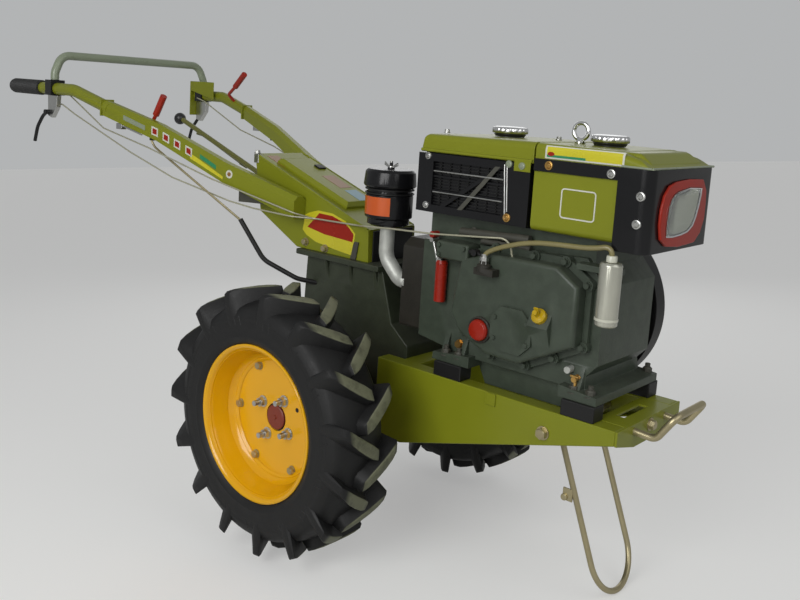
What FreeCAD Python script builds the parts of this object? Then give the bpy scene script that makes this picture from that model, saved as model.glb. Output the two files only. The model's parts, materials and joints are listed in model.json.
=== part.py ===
import FreeCAD, Part
import math
import os
import re
import Sketcher
from FreeCAD import Placement, Rotation, Vector

# Two-wheeled walking tractor with a water-cooled single-cylinder diesel engine on its front frame.
# Level frame: X forward, Y to the left, Z up, with the wheel axle as the origin.
# The whole machine then stands nose-down on its front stand, as it parks.
# All lengths are in millimetres and all angles in degrees.

os.makedirs("parts", exist_ok=True)
doc = FreeCAD.newDocument("walking_tractor")
sheet = doc.addObject("Spreadsheet::Sheet", "Sizes")

SIZES = [
    # alias, value, what it is
    ("park_pitch", 5.5, "nose-down angle on the front stand"),
    ("fit_gap", 0.3, "clearance of a seated or running fit"),
    ("track_half", 330, "wheel centre plane from the middle"),
    ("tip_radius", 292, "tyre radius over the lugs"),
    ("crown_radius", 268, "tyre radius between the lugs at the middle"),
    ("shoulder_radius", 254, "tyre radius at the shoulder"),
    ("shoulder_half", 64, "half width of the tread between the shoulders"),
    ("sidewall_half", 73, "half width of the tyre section"),
    ("lug_half", 76, "half width over the lug ends"),
    ("lug_count", 15, "lugs on each side of a tyre"),
    ("lug_sweep", 13, "angle a lug covers round the tyre"),
    ("lug_width", 40, "lug width at its foot"),
    ("lug_top", 28, "lug width at its top"),
    ("lug_sink", 6, "depth of a lug's foot in the carcass"),
    ("lug_inner", -13, "where a lug starts past the middle"),
    ("flange_radius", 170, "rim flange radius"),
    ("seat_radius", 152, "rim bead seat radius"),
    ("rim_half", 68, "half width of the rim over its flanges"),
    ("rim_wall", 4, "rim sheet thickness"),
    ("disc_wall", 5, "wheel disc thickness"),
    ("disc_hole", 30, "wheel disc centre hole radius"),
            ("hub_flange", 76, "hub flange radius"),
    ("hub_flange_wall", 12, "hub flange thickness"),
    ("hub_barrel", 38, "hub barrel radius"),
    ("hub_nose", 27, "hub end cap radius"),
    ("hub_nose_out", 4, "hub end cap height outside the disc"),
    ("hub_start", 252, "inner end of the hub barrel from the middle"),
    ("shaft_radius", 20, "half shaft radius"),
    ("shaft_in", 55, "half shaft length inside its housing"),
    ("housing_end", 246, "outer end of the axle housing from the middle"),
    ("housing_radius", 38, "axle housing radius"),
    ("housing_flange", 66, "axle housing flange radius"),
    ("housing_wall", 14, "axle housing flange thickness"),
    ("case_half", 80, "half width of the gearbox"),
    ("case_front", 150, "gearbox front face"),
    ("case_back", -190, "gearbox back face at its top"),
    ("case_top", 322, "top of the gearbox flange"),
    ("case_flange", 14, "gearbox top flange thickness"),
    ("flange_half", 98, "half width of the gearbox top flange"),
    ("frame_half", 135, "outer face of the side beams from the middle"),
    ("frame_top", 128, "top of the side beams"),
    ("frame_front", 704, "front end of the side beams"),
    ("frame_back", 112, "rear end of the side beams"),
    ("beam_tail", -52, "lowest edge of a beam at the rear"),
    ("beam_nose", 99, "lower edge of a beam at the front"),
    ("beam_wall", 6, "side beam plate thickness"),
    ("beam_top_width", 38, "top flange width of a side beam"),
    ("beam_low_width", 24, "bottom flange width of a side beam"),
    ("plate_wall", 5, "cross plate thickness"),
    ("front_dip", 81, "lower edge of the front plate at the middle"),
    ("front_shelf", 62, "depth of the front cross plate's top"),
    ("loop_radius", 7, "front loop rod radius"),
    ("loop_half", 66, "front loop legs from the middle"),
    ("loop_height", 114, "front loop legs above the axle"),
    ("loop_bend", 752, "where the front loop turns up"),
    ("loop_front", 787, "front loop crossbar"),
    ("loop_top", 163, "front loop crossbar above the axle"),
    ("hinge_forward", 553, "stand hinge in front of the axle"),
    ("hinge_height", 81, "stand hinge above the axle"),
    ("stand_lean", 21, "stand angle forward of the level frame's plumb line"),
    ("stand_rod", 6, "stand rod radius"),
    ("stand_half", 75, "stand legs from the middle"),
    ("pivot_radius", 8, "stand pivot bar radius"),
    ("sleeve_radius", 12, "stand sleeve radius"),
    ("block_height", 32, "engine mounting block height"),
    ("block_width", 40, "engine mounting block width"),
    ("block_length", 72, "engine mounting block length"),
    ("block_back", 272, "rear end of the rear mounting blocks"),
    ("block_front", 585, "rear end of the front mounting blocks"),
    ("foot_wall", 16, "engine foot thickness"),
    ("engine_half", 105, "half width of the crankcase"),
    ("crank_back", 330, "rear face of the crankcase"),
    ("crank_front", 640, "front face of the crankcase"),
    ("crank_top", 432, "top of the crankcase"),
    ("deck_top", 472, "top of the engine deck under radiator and tank"),
    ("barrel_back", 200, "rear face of the cylinder block"),
    ("barrel_low", 196, "underside of the cylinder block"),
    ("head_back", 134, "rear face of the cylinder head"),
    ("head_half", 96, "half width of the cylinder head"),
    ("rocker_back", 104, "rear face of the rocker cover"),
    ("rocker_half", 60, "half width of the rocker cover"),
    ("crank_x", 445, "crankshaft in front of the axle"),
    ("crank_z", 290, "crankshaft above the axle"),
    ("cover_wall", 45, "gear cover depth"),
    ("cover_rim", 12, "gear cover flange thickness"),
    ("cover_front", 620, "front edge of the gear cover"),
    ("flywheel_radius", 190, "flywheel radius"),
    ("flywheel_start", 142, "inner face of the flywheel from the middle"),
    ("flywheel_wall", 40, "flywheel thickness"),
    ("drive_radius", 66, "engine pulley radius"),
    ("pulley_wall", 48, "width of both pulleys"),
    ("clutch_x", 40, "clutch pulley in front of the axle"),
    ("clutch_z", 150, "clutch pulley above the axle"),
    ("clutch_radius", 106, "clutch pulley radius"),
    ("belt_depth", 9, "belt depth in its groove"),
    ("belt_count", 3, "belts side by side"),
    ("spindle", 22, "radius of the crank and clutch shaft ends"),
    ("rad_back", 198, "rear end of the radiator"),
    ("rad_front", 478, "front end of the radiator"),
    ("rad_half", 132, "half width of the radiator top"),
    ("core_half", 122, "half width of the radiator core"),
    ("rad_neck", 600, "where the radiator core meets its top"),
    ("rad_rise", 38, "height of the radiator's top part"),
    ("guard_wall", 12, "radiator guard thickness"),
    ("tank_front", 690, "front face of the fuel tank"),
    ("tank_half", 132, "half width of the fuel tank"),
    ("tank_neck", "=rad_neck + 12", "where the tank's sides meet its crown"),
    ("tank_rise", 29, "height of the tank's crown over its sides"),
    ("tank_round", 16, "tank edge radius"),
    ("seam", 4, "gap between the radiator and the tank"),
    ("cowl_front", 727, "front face of the lamp cowl"),
    ("cowl_low", 460, "bottom of the lamp cowl"),
    ("cowl_half", 137, "half width of the lamp cowl"),
    ("cowl_band", 24, "height of the cowl's side band"),
    ("ring_half", 100, "half width of the lamp ring"),
    ("ring_share", 0.845, "height of the lamp ring as a share of the cowl's"),
    ("ring_wall", 9, "how far the lamp ring stands out"),
    ("lens_half", 77, "half width of the lamp glass"),
    ("lens_share", 0.62, "height of the lamp glass as a share of the cowl's"),
    ("filter_x", 74, "air filter in front of the axle"),
    ("filter_y", 85, "air filter to the right of the middle"),
    ("filter_low", 420, "bottom of the air filter"),
    ("filter_high", 508, "top of the air filter's can"),
    ("filter_radius", 54, "air filter can radius"),
    ("filter_cap", 60, "air filter cap radius"),
    ("cap_height", 40, "air filter cap height"),
    ("intake_radius", 17, "intake pipe radius"),
    ("bowl_x", 668, "fuel filter in front of the axle"),
    ("bowl_y", 144, "fuel filter to the right of the middle"),
    ("bowl_low", 322, "bottom of the fuel filter"),
    ("bowl_high", 440, "top of the fuel filter"),
    ("bowl_radius", 21, "fuel filter radius"),
    ("hose_radius", 5, "fuel hose radius"),
    ("box_half", 84, "half width of the tool box"),
    ("box_wall", 4, "tool box sheet thickness"),
    ("box_front", 14, "top edge of the tool box's front"),
    ("box_back", -400, "rear end of the tool box's top"),
    ("box_high", 541, "rear end of the tool box above the axle"),
    ("box_low", 398, "front end of the tool box's top above the axle"),
    ("lid_half", 56, "half width of the tool box lid"),
    ("lid_wall", 15, "height of the tool box lid"),
    ("arm_radius", 17, "handle tube radius"),
    ("grip_radius", 20, "handle grip radius"),
    ("grip_end", -1332, "rear end of a grip"),
    ("grip_front", -1160, "front end of a grip"),
    ("grip_half", 264, "grips from the middle"),
    ("grip_height", 669, "grips above the axle"),
    ("arm_bend", -985, "where an arm turns down"),
    ("arm_seam", -835, "where an arm's tube meets its pressed part"),
    ("arm_front", -200, "front end of an arm"),
    ("arm_deep", 54, "depth of an arm at the tool box"),
    ("rail_radius", 12, "handle rail radius"),
    ("rail_rise", 109, "top of the handle rail over the grips"),
    ("silencer_x", 150, "middle of the silencer in front of the axle"),
    ("silencer_y", 152, "silencer to the left of the middle"),
    ("silencer_z", 398, "silencer above the axle"),
    ("silencer_radius", 36, "silencer radius"),
    ("wire_radius", 2, "control wire radius"),
    ("hitch_bore", 11, "hitch pin bore radius"),
    ("hitch_back", -268, "hitch pin behind the axle"),
]

for row, (alias, value, note) in enumerate(SIZES, start=1):
    sheet.set("A%d" % row, alias)
    sheet.set("B%d" % row, str(value))
    sheet.set("C%d" % row, note)
    sheet.setAlias("B%d" % row, alias)
doc.recompute()

NAMES = {alias for alias, value, note in SIZES}
pieces = []


def size(name):
    """The value of a named cell."""
    return float(sheet.get(name))


def bound(text):
    """An expression on the sheet, written with the bare names of its cells."""
    return re.sub(r"[a-z_]+", lambda word: "Sizes." + word.group() if word.group() in NAMES else word.group(), text)


def reading(text):
    """The value that an expression on the sheet has now."""
    return float(sheet.evalExpression(text))


def keep(piece, label, at=(0, 0, 0), turn=None):
    """Names a finished piece, so that its file is written under that name, and puts it in the level frame."""
    piece.Label = label
    piece.Placement = Placement(Vector(*at), turn or Rotation())
    pieces.append(piece)
    return piece


def shaped(label, shape, at=(0, 0, 0), turn=None):
    """Keeps a piece whose shape was made with the Part functions."""
    piece = doc.addObject("Part::Feature", label)
    piece.Shape = shape
    return keep(piece, label, at, turn)


def outline(body, role, corners):
    """A closed sketch of straight runs on an origin plane; each corner is a pair of sheet expressions."""
    sketch = body.newObject("Sketcher::SketchObject", "Outline")
    plane = [item for item in body.Origin.OriginFeatures if item.Role == role][0]
    sketch.AttachmentSupport = [(plane, "")]
    sketch.MapMode = "FlatFace"
    spots = [Vector(reading(across), reading(up), 0) for across, up in corners]
    for here, there in zip(spots, spots[1:] + spots[:1]):
        sketch.addGeometry(Part.LineSegment(here, there))
    for line, (spot, texts) in enumerate(zip(spots, corners)):
        sketch.addConstraint(Sketcher.Constraint("Coincident", line, 2, (line + 1) % len(spots), 1))
        for kind, text, value in (("DistanceX", texts[0], spot.x), ("DistanceY", texts[1], spot.y)):
            index = sketch.addConstraint(Sketcher.Constraint(kind, -1, 1, line, 1, value))
            sketch.setExpression("Constraints[%d]" % index, bound(text))
    return sketch


def turned_body(name, corners):
    """A body of revolution about its own Z axis; corners are (radius, height)."""
    body = doc.addObject("PartDesign::Body", name)
    turn = body.newObject("PartDesign::Revolution", "Turn")
    sketch = outline(body, "XZ_Plane", corners)
    turn.Profile = sketch
    turn.ReferenceAxis = (sketch, ["V_Axis"])
    turn.Angle = 360
    body.Tip = turn
    return body


def padded_body(name, layers):
    """A body of pads; a layer is (plane, corners, length, side), and side is high, low or both."""
    body = doc.addObject("PartDesign::Body", name)
    for role, corners, length, side in layers:
        sketch = outline(body, role, corners)
        pad = body.newObject("PartDesign::Pad", "Pad")
        pad.Profile = sketch
        pad.SideType = "Symmetric" if side == "both" else "One side"
        pad.Reversed = (side == "high") == (role == "XZ_Plane")
        pad.setExpression("Length", bound(length))
        doc.recompute()
        body.Tip = pad
    return body


def rounded(body, radius, test):
    """Rounds the edges of a body that the test picks, with a radius from the sheet."""
    doc.recompute()
    tip = body.Tip
    edges = ["Edge%d" % (i + 1) for i, edge in enumerate(tip.Shape.Edges) if test(edge)]
    fillet = body.newObject("PartDesign::Fillet", "Round")
    fillet.Base = (tip, edges)
    fillet.setExpression("Radius", bound(radius))
    body.Tip = fillet
    return body


def runs_along(axis):
    """A test for straight edges that run along an axis."""
    def test(edge):
        span = edge.Vertexes[-1].Point - edge.Vertexes[0].Point
        return span.Length > 0.1 and abs(span.normalize().dot(axis)) > 0.999
    return test


X, Y, Z = Vector(1, 0, 0), Vector(0, 1, 0), Vector(0, 0, 1)
TO_RIGHT = Rotation(X, 90)      # local Z points to the right
TO_LEFT = Rotation(X, -90)      # local Z points to the left
TO_FRONT = Rotation(Y, 90)      # local Z points forward
SIDES = (("right", -1, TO_RIGHT), ("left", 1, TO_LEFT))


def block(low, high):
    """A box from its lowest to its highest corner."""
    return Part.makeBox(high[0] - low[0], high[1] - low[1], high[2] - low[2], Vector(*low))


def rod(points, radius, bend=None):
    """A round bar along straight runs, joined by arcs of the given radius."""
    spots = [Vector(*point) for point in points]
    edges, start = [], spots[0]
    for before, corner, after in zip(spots, spots[1:], spots[2:]):
        inward, outward = (before - corner), (after - corner)
        runs = min(inward.Length, outward.Length)
        inward.normalize()
        outward.normalize()
        half_turn = (math.pi - inward.getAngle(outward)) / 2
        reach = 0.45 * runs if bend is None else min(bend * math.tan(half_turn), 0.49 * runs)
        first, last = corner + inward * reach, corner + outward * reach
        centre_way = (inward + outward).normalize()
        arc_radius = reach / math.tan(half_turn)
        middle = corner + centre_way * (arc_radius / math.cos(half_turn) - arc_radius)
        if (first - start).Length > 1e-6:
            edges.append(Part.LineSegment(start, first).toShape())
        edges.append(Part.Arc(first, middle, last).toShape())
        start = last
    edges.append(Part.LineSegment(start, spots[-1]).toShape())
    path = Part.Wire(edges)
    ring = Part.Wire([Part.makeCircle(radius, spots[0], spots[1] - spots[0])])
    return path.makePipeShell([ring], True, False)


def flat(corners, depth, plane="xz"):
    """A plate from a closed outline of points in the XZ, YZ or XY plane, as deep as the given vector."""
    place = {"xz": lambda a, b: Vector(a, 0, b), "yz": lambda a, b: Vector(0, a, b), "xy": lambda a, b: Vector(a, b, 0)}
    spots = [place[plane](*corner) for corner in corners]
    return Part.Face(Part.makePolygon(spots + spots[:1])).extrude(depth)


def fused(first, *others):
    """One solid from several that overlap or touch."""
    return first.multiFuse(list(others)).removeSplitter()


def flat_faced(loops, closed):
    """A solid of flat faces through loops of points, joined end to start or closed by its first and last loop."""
    faces = []
    for near, far in zip(loops, loops[1:] + loops[:1] if closed else loops[1:]):
        for here in range(len(near)):
            there = (here + 1) % len(near)
            quad = [near[here], near[there], far[there], far[here]]
            for corners in [quad] if closed else [quad[:3], quad[:1] + quad[2:]]:
                faces.append(Part.Face(Part.makePolygon(corners + corners[:1])))
    for end in () if closed else (loops[0], loops[-1]):
        faces.append(Part.Face(Part.makePolygon(end + end[:1])))
    solid = Part.makeSolid(Part.makeShell(faces))
    return solid.reversed() if solid.Volume < 0 else solid


def lug(count, index, side):
    """One tyre lug: four sections from past the middle to the shoulder and down the side."""
    half_foot, half_top = size("lug_width") / 2, size("lug_top") / 2
    tip, sink = size("tip_radius"), size("lug_sink")
    inner, outer = size("lug_inner"), size("lug_half")
    turn = math.radians(360 / count * (index + (0.5 if side > 0 else 0)))
    sweep = math.radians(size("lug_sweep"))
    crown, shoulder = size("crown_radius") - sink, size("shoulder_radius") - sink
    # share of the sweep, axial place of the foot, foot radius, top radius, axial place of the top
    sections = [
        (0.0, inner, crown, tip - 1, inner),
        (0.45, (inner + outer) * 0.45, crown - 2, tip, (inner + outer) * 0.45),
        (1.0, size("shoulder_half"), shoulder, tip - 4, outer - 3),
        (1.08, size("sidewall_half") - sink, shoulder - 30, shoulder - 22, outer),
    ]
    loops = []
    for share, foot_y, foot_r, top_r, top_y in sections:
        corners = []
        foot, top = half_foot * (1 - 0.15 * share), half_top * (1 - 0.2 * share)
        for radius, place, half in ((foot_r, foot_y, -foot), (top_r, top_y, -top),
                                    (top_r, top_y, top), (foot_r, foot_y, foot)):
            angle = turn - sweep * share + half / radius
            corners.append(Vector(radius * math.sin(angle), radius * math.cos(angle), side * place))
        loops.append(corners)
    return flat_faced(loops, False)


def tyre():
    """A carcass of flat facets, two to each lug, with its lugs fused to it."""
    count = int(size("lug_count"))
    facets = 2 * count
    seat = (size("seat_radius") + size("fit_gap")) / math.cos(math.pi / facets)
    flange, shoulder = size("flange_radius"), size("shoulder_radius")
    rim, side = size("rim_half") - size("rim_wall") - size("fit_gap"), size("sidewall_half")
    bulge = (shoulder - flange) / 3
    section = [(seat, rim), (flange, rim), (flange + bulge, side), (shoulder - bulge, side),
               (shoulder, size("shoulder_half")), (size("crown_radius"), 0)]
    section += [(radius, -place) for radius, place in reversed(section[:-1])]
    loops = []
    for facet in range(facets):
        way = Vector(math.cos(2 * math.pi * facet / facets), math.sin(2 * math.pi * facet / facets), 0)
        loops.append([way * radius + Z * place for radius, place in section])
    lugs = [lug(count, index, side) for side in (1, -1) for index in range(count)]
    return flat_faced(loops, True).multiFuse(lugs)


# Wheels: tyre, rim and hub on each side
tyre_shape = tyre()
RIM = [
    ("flange_radius", "rim_half"), ("flange_radius", "rim_half - rim_wall"),
    ("seat_radius", "rim_half - rim_wall"), ("seat_radius", "26"), ("seat_radius - 12", "20"),
    ("seat_radius - 12", "-20"), ("seat_radius", "-26"), ("seat_radius", "rim_wall - rim_half"),
    ("flange_radius", "rim_wall - rim_half"), ("flange_radius", "-rim_half"),
    ("seat_radius - rim_wall", "-rim_half"), ("seat_radius - rim_wall", "-30"),
    ("seat_radius - rim_wall - 12", "-24"), ("seat_radius - rim_wall - 12", "-disc_wall / 2"),
    ("disc_hole", "-disc_wall / 2"), ("disc_hole", "disc_wall / 2"),
    ("seat_radius - rim_wall - 12", "disc_wall / 2"), ("seat_radius - rim_wall - 12", "24"),
    ("seat_radius - rim_wall", "30"), ("seat_radius - rim_wall", "rim_half"),
]
HUB = [
    ("0", "hub_nose_out"), ("hub_nose", "hub_nose_out"), ("hub_nose", "-disc_wall / 2"),
    ("hub_flange", "-disc_wall / 2"), ("hub_flange", "-disc_wall / 2 - hub_flange_wall"),
    ("hub_barrel", "-disc_wall / 2 - hub_flange_wall - 6"), ("hub_barrel", "hub_start - track_half"),
    ("shaft_radius", "hub_start - track_half"), ("shaft_radius", "housing_end - shaft_in - track_half"),
    ("0", "housing_end - shaft_in - track_half"),
]
HOUSING = [
    ("0", "0"), ("housing_flange", "0"), ("housing_flange", "housing_wall"),
    ("housing_radius + 8", "housing_wall + 6"), ("housing_radius", "housing_end - case_half"),
    ("shaft_radius + fit_gap", "housing_end - case_half"),
    ("shaft_radius + fit_gap", "housing_end - case_half - shaft_in - 5"),
    ("0", "housing_end - case_half - shaft_in - 5"),
]
for side, sign, turn in SIDES:
    centre = (0, sign * size("track_half"), 0)
    shaped("tyre_" + side, tyre_shape, centre, TO_RIGHT)
    keep(turned_body("rim_" + side, RIM), "rim_" + side, centre, turn)
    keep(turned_body("hub_" + side, HUB), "hub_" + side, centre, turn)


def pair(name, made, spread, height=0, along=0):
    """One shape on each side of the middle, as two solids that do not touch."""
    solids = []
    for side, sign, turn in SIDES:
        copy = made.copy()
        copy.Placement = Placement(Vector(along, sign * spread, height), turn)
        solids.append(copy)
    return shaped(name, Part.makeCompound(solids))


housing = turned_body("housing", HOUSING)
doc.recompute()
pair("axle_housings", housing.Shape, size("case_half"))

# Gearbox casting with its top flange, and the sleeve that carries the clutch pulley
gearbox = padded_body("case", [
    ("XZ_Plane", [("-100", "-62"), ("-30", "-92"), ("75", "-84"), ("case_front", "-45"), ("case_front", "150"),
                  ("98", "192"), ("62", "case_top - case_flange"), ("case_back", "case_top - case_flange"),
                  ("case_back - 6", "190"), ("-122", "60")], "2 * case_half", "both"),
    ("XZ_Plane", [("case_back - 24", "case_top - case_flange"), ("62", "case_top - case_flange"),
                  ("62", "case_top"), ("case_back - 24", "case_top")], "2 * flange_half", "both"),
])
rounded(gearbox, "8", lambda edge: runs_along(Y)(edge) and edge.BoundBox.ZMax < size("case_top") - 40)
SLEEVE = [
    ("spindle + fit_gap", "0"), ("52", "0"), ("52", "12"), ("40", "18"),
    ("38", "flywheel_start + flywheel_wall - case_half - 8"),
    ("spindle + fit_gap", "flywheel_start + flywheel_wall - case_half - 8"),
]
sleeve = turned_body("clutch_sleeve", SLEEVE)
doc.recompute()
sleeve_shape = sleeve.Shape.copy()
sleeve_shape.Placement = Placement(Vector(size("clutch_x"), size("case_half"), size("clutch_z")), TO_LEFT)
socket = Part.makeCylinder(size("spindle") + size("fit_gap"), 40,
                           Vector(size("clutch_x"), size("case_half") - 40, size("clutch_z")), Y)
flange_low, web_wall = size("case_top") - size("case_flange"), 10
webs = []
for along in (-120, -40, 40):
    for sign in (-1, 1):
        web = flat([(sign * (size("case_half") - 2), flange_low), (sign * (size("flange_half") - 6), flange_low),
                    (sign * (size("case_half") - 2), flange_low - 58)], X * web_wall, "yz")
        web.translate(X * along)
        webs.append(web)
gearbox_shape = gearbox.Shape.multiFuse([sleeve_shape] + webs).cut(socket).removeSplitter()
shaped("gearbox", gearbox_shape)

# Pulleys: grooved rims, each with a stub shaft that runs in its sleeve


def grooved(radius):
    """The grooved rim of a belt pulley, from its outer face to its inner face."""
    corners = []
    for belt in range(int(size("belt_count"))):
        high = "pulley_wall - 1.5 - %d * (pulley_wall - 3) / belt_count" % belt
        low = "pulley_wall - 1.5 - %d * (pulley_wall - 3) / belt_count" % (belt + 1)
        corners += [(radius, high + " - 1"), (radius + " - belt_depth - 2", high + " - 3"),
                    (radius + " - belt_depth - 2", low + " + 3"), (radius, low + " + 1")]
    return corners


CLUTCH = [("0", "pulley_wall + 6"), ("30", "pulley_wall + 6"), ("30", "14"), ("clutch_radius - 22", "14"),
          ("clutch_radius - 22", "pulley_wall"), ("clutch_radius", "pulley_wall")] + grooved("clutch_radius") + [
          ("clutch_radius", "0"), ("spindle", "0"), ("spindle", "-60"), ("0", "-60")]
DRIVE = [("0", "pulley_wall + 4"), ("24", "pulley_wall + 4"), ("24", "pulley_wall - 8"),
         ("drive_radius - 20", "pulley_wall - 8"), ("drive_radius - 20", "pulley_wall"),
         ("drive_radius", "pulley_wall")] + grooved("drive_radius") + [("drive_radius", "0")]
DRIVE = [(across, "%s + flywheel_wall" % up) for across, up in DRIVE]
FLYWHEEL = DRIVE + [("drive_radius", "flywheel_wall - 12"),
            ("flywheel_radius - 34", "flywheel_wall - 12"), ("flywheel_radius - 34", "flywheel_wall"),
            ("flywheel_radius", "flywheel_wall"), ("flywheel_radius", "0"), ("flywheel_radius - 30", "0"),
            ("flywheel_radius - 30", "8"), ("spindle + 14", "8"), ("spindle + 14", "0"), ("spindle", "0"),
            ("spindle", "engine_half - flywheel_start - 40"), ("0", "engine_half - flywheel_start - 40")]
pulley_y = size("flywheel_start") + size("flywheel_wall")
keep(turned_body("clutch_pulley", CLUTCH), "clutch_pulley", (size("clutch_x"), pulley_y, size("clutch_z")), TO_LEFT)
keep(turned_body("flywheel", FLYWHEEL), "flywheel", (size("crank_x"), size("flywheel_start"), size("crank_z")), TO_LEFT)


def belt_loop(inner_grow):
    """The outline of a belt round both pulleys: two tangent runs and two arcs."""
    small, large = size("drive_radius") - inner_grow, size("clutch_radius") - inner_grow
    front = Vector(size("crank_x"), 0, size("crank_z"))
    back = Vector(size("clutch_x"), 0, size("clutch_z"))
    way = front - back
    lean = math.acos((large - small) / way.Length)
    base = math.atan2(way.z, way.x)

    def spot(centre, radius, angle):
        return centre + Vector(math.cos(angle), 0, math.sin(angle)) * radius
    top, low = base + lean, base - lean
    edges = [
        Part.LineSegment(spot(back, large, top), spot(front, small, top)),
        Part.Arc(spot(front, small, top), spot(front, small, base), spot(front, small, low)),
        Part.LineSegment(spot(front, small, low), spot(back, large, low)),
        Part.Arc(spot(back, large, low), spot(back, large, base + math.pi), spot(back, large, top)),
    ]
    return Part.Wire([edge.toShape() for edge in edges])


def belts():
    """Like belts side by side, one in each pair of grooves."""
    pitch = (size("pulley_wall") - 3) / size("belt_count")
    width = pitch - 6 - 2 * size("fit_gap")
    ring = Part.Face(belt_loop(-2)).cut(Part.Face(belt_loop(size("belt_depth"))))
    solids = []
    for belt in range(int(size("belt_count"))):
        middle = pulley_y + 1.5 + pitch * (belt + 0.5)
        solid = ring.extrude(Y * width)
        solid.translate(Y * (middle - width / 2))
        solids += solid.Solids
    return Part.makeCompound(solids)


shaped("belts", belts())

# Front frame: two tapered side beams, cross plates, tow loop, stand and its pivot bar
BEAM_WEB = [("frame_back", "beam_tail"), ("190", "beam_tail"), ("frame_front", "beam_nose"),
            ("frame_front", "frame_top"), ("frame_back", "frame_top")]
BEAM_TOP = [("frame_back", "frame_top - plate_wall"), ("frame_front", "frame_top - plate_wall"),
            ("frame_front", "frame_top"), ("frame_back", "frame_top")]
BEAM_LOW = [("190", "beam_tail"), ("frame_front", "beam_nose"), ("frame_front", "beam_nose + plate_wall"),
            ("190", "beam_tail + plate_wall")]
for side, sign, turn in SIDES:
    inward = "high" if sign < 0 else "low"
    beam = padded_body("beam_" + side, [
        ("XZ_Plane", BEAM_WEB, "beam_wall", inward),
        ("XZ_Plane", BEAM_TOP, "beam_top_width", inward),
        ("XZ_Plane", BEAM_LOW, "beam_low_width", inward),
    ])
    keep(beam, "beam_" + side, (0, sign * size("frame_half"), 0))

half, wall, front = size("frame_half"), size("plate_wall"), size("frame_front")
inside = half - size("beam_wall")
nose = flat([(-half, size("frame_top")), (half, size("frame_top")), (half, size("beam_nose")),
             (62, size("front_dip")), (-62, size("front_dip")), (-half, size("beam_nose"))], X * wall, "yz")
nose.translate(X * front)
shelf_half = half - size("beam_top_width")
shelf = block((front - size("front_shelf"), -shelf_half, size("frame_top") - wall), (front, shelf_half, size("frame_top")))
slot = block((front - 44, -50, size("frame_top") - 2 * wall), (front - 26, 50, size("frame_top") + wall))
shaped("front_cross_plate", fused(nose, shelf.cut(slot)))
upright = block((size("case_front"), -inside, size("beam_tail") + 12),
                (size("case_front") + wall, inside, size("frame_top") - wall))
top_strip = block((size("case_front"), -inside, size("frame_top") - 2 * wall),
                  (size("case_front") + 46, inside, size("frame_top") - wall))
shaped("rear_cross_plate", fused(upright, top_strip))

loop_start = front + wall - 3
shaped("front_loop", rod([
    (loop_start, -size("loop_half"), size("loop_height")),
    (size("loop_bend"), -size("loop_half"), size("loop_height") - 3),
    (size("loop_front"), -size("loop_half"), size("loop_top")),
    (size("loop_front"), size("loop_half"), size("loop_top")),
    (size("loop_bend"), size("loop_half"), size("loop_height") - 3),
    (loop_start, size("loop_half"), size("loop_height")),
], size("loop_radius"), 20).cut(nose))

# The stand's length follows from the pitch, so that its foot and the tyres rest on one floor
pitch, lean = math.radians(size("park_pitch")), math.radians(size("stand_lean"))
stance_turn = Rotation(Y, size("park_pitch"))
floor_depth = -tyre_shape.copy().transformed(
    Placement(Vector(), stance_turn.multiply(TO_RIGHT)).toMatrix()).optimalBoundingBox(False).ZMin
hinge = Vector(size("hinge_forward"), 0, size("hinge_height"))
hinge_drop = hinge.z * math.cos(pitch) - hinge.x * math.sin(pitch)
stand_length = (hinge_drop + floor_depth - size("stand_rod")) / math.cos(pitch + lean)
leg_way = Vector(math.sin(lean), 0, -math.cos(lean))


def stand():
    """A bent rod welded to a sleeve that turns on the pivot bar."""
    half, radius = size("stand_half"), size("stand_rod")
    foot = leg_way * stand_length
    start = leg_way * (size("pivot_radius") + size("fit_gap") + 1)
    knee = leg_way * (stand_length - half)
    right, left = Y * -half, Y * half
    edges = [
        Part.LineSegment(start + right, knee + right),
        Part.Arc(knee + right, foot, knee + left),
        Part.LineSegment(knee + left, start + left),
    ]
    path = Part.Wire([edge.toShape() for edge in edges])
    legs = path.makePipeShell([Part.Wire([Part.makeCircle(radius, start + right, leg_way)])], True, False)
    length = 2 * (half + radius + 10)
    sleeve = Part.makeCylinder(size("sleeve_radius"), length, Y * (-length / 2), Y)
    bore = Part.makeCylinder(size("pivot_radius") + size("fit_gap"), length, Y * (-length / 2), Y)
    return legs.fuse(sleeve).cut(bore).removeSplitter()


shaped("stand", stand(), tuple(hinge))
pivot = doc.addObject("Part::Cylinder", "PivotBar")
pivot.setExpression("Radius", bound("pivot_radius"))
pivot.setExpression("Height", bound("2 * frame_half - 2 * beam_wall"))
keep(pivot, "stand_pivot", (hinge.x, -inside, hinge.z), TO_LEFT)


def mounting_blocks():
    """Four blocks on the side beams, under the engine's feet."""
    solids = []
    for start in (size("block_back"), size("block_front")):
        for sign in (-1, 1):
            low, high = sorted((sign * half, sign * (half - size("block_width"))))
            solids.append(block((start, low, size("frame_top")),
                                (start + size("block_length"), high, size("frame_top") + size("block_height"))))
    return Part.makeCompound(solids)


shaped("mounting_blocks", mounting_blocks())

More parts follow.
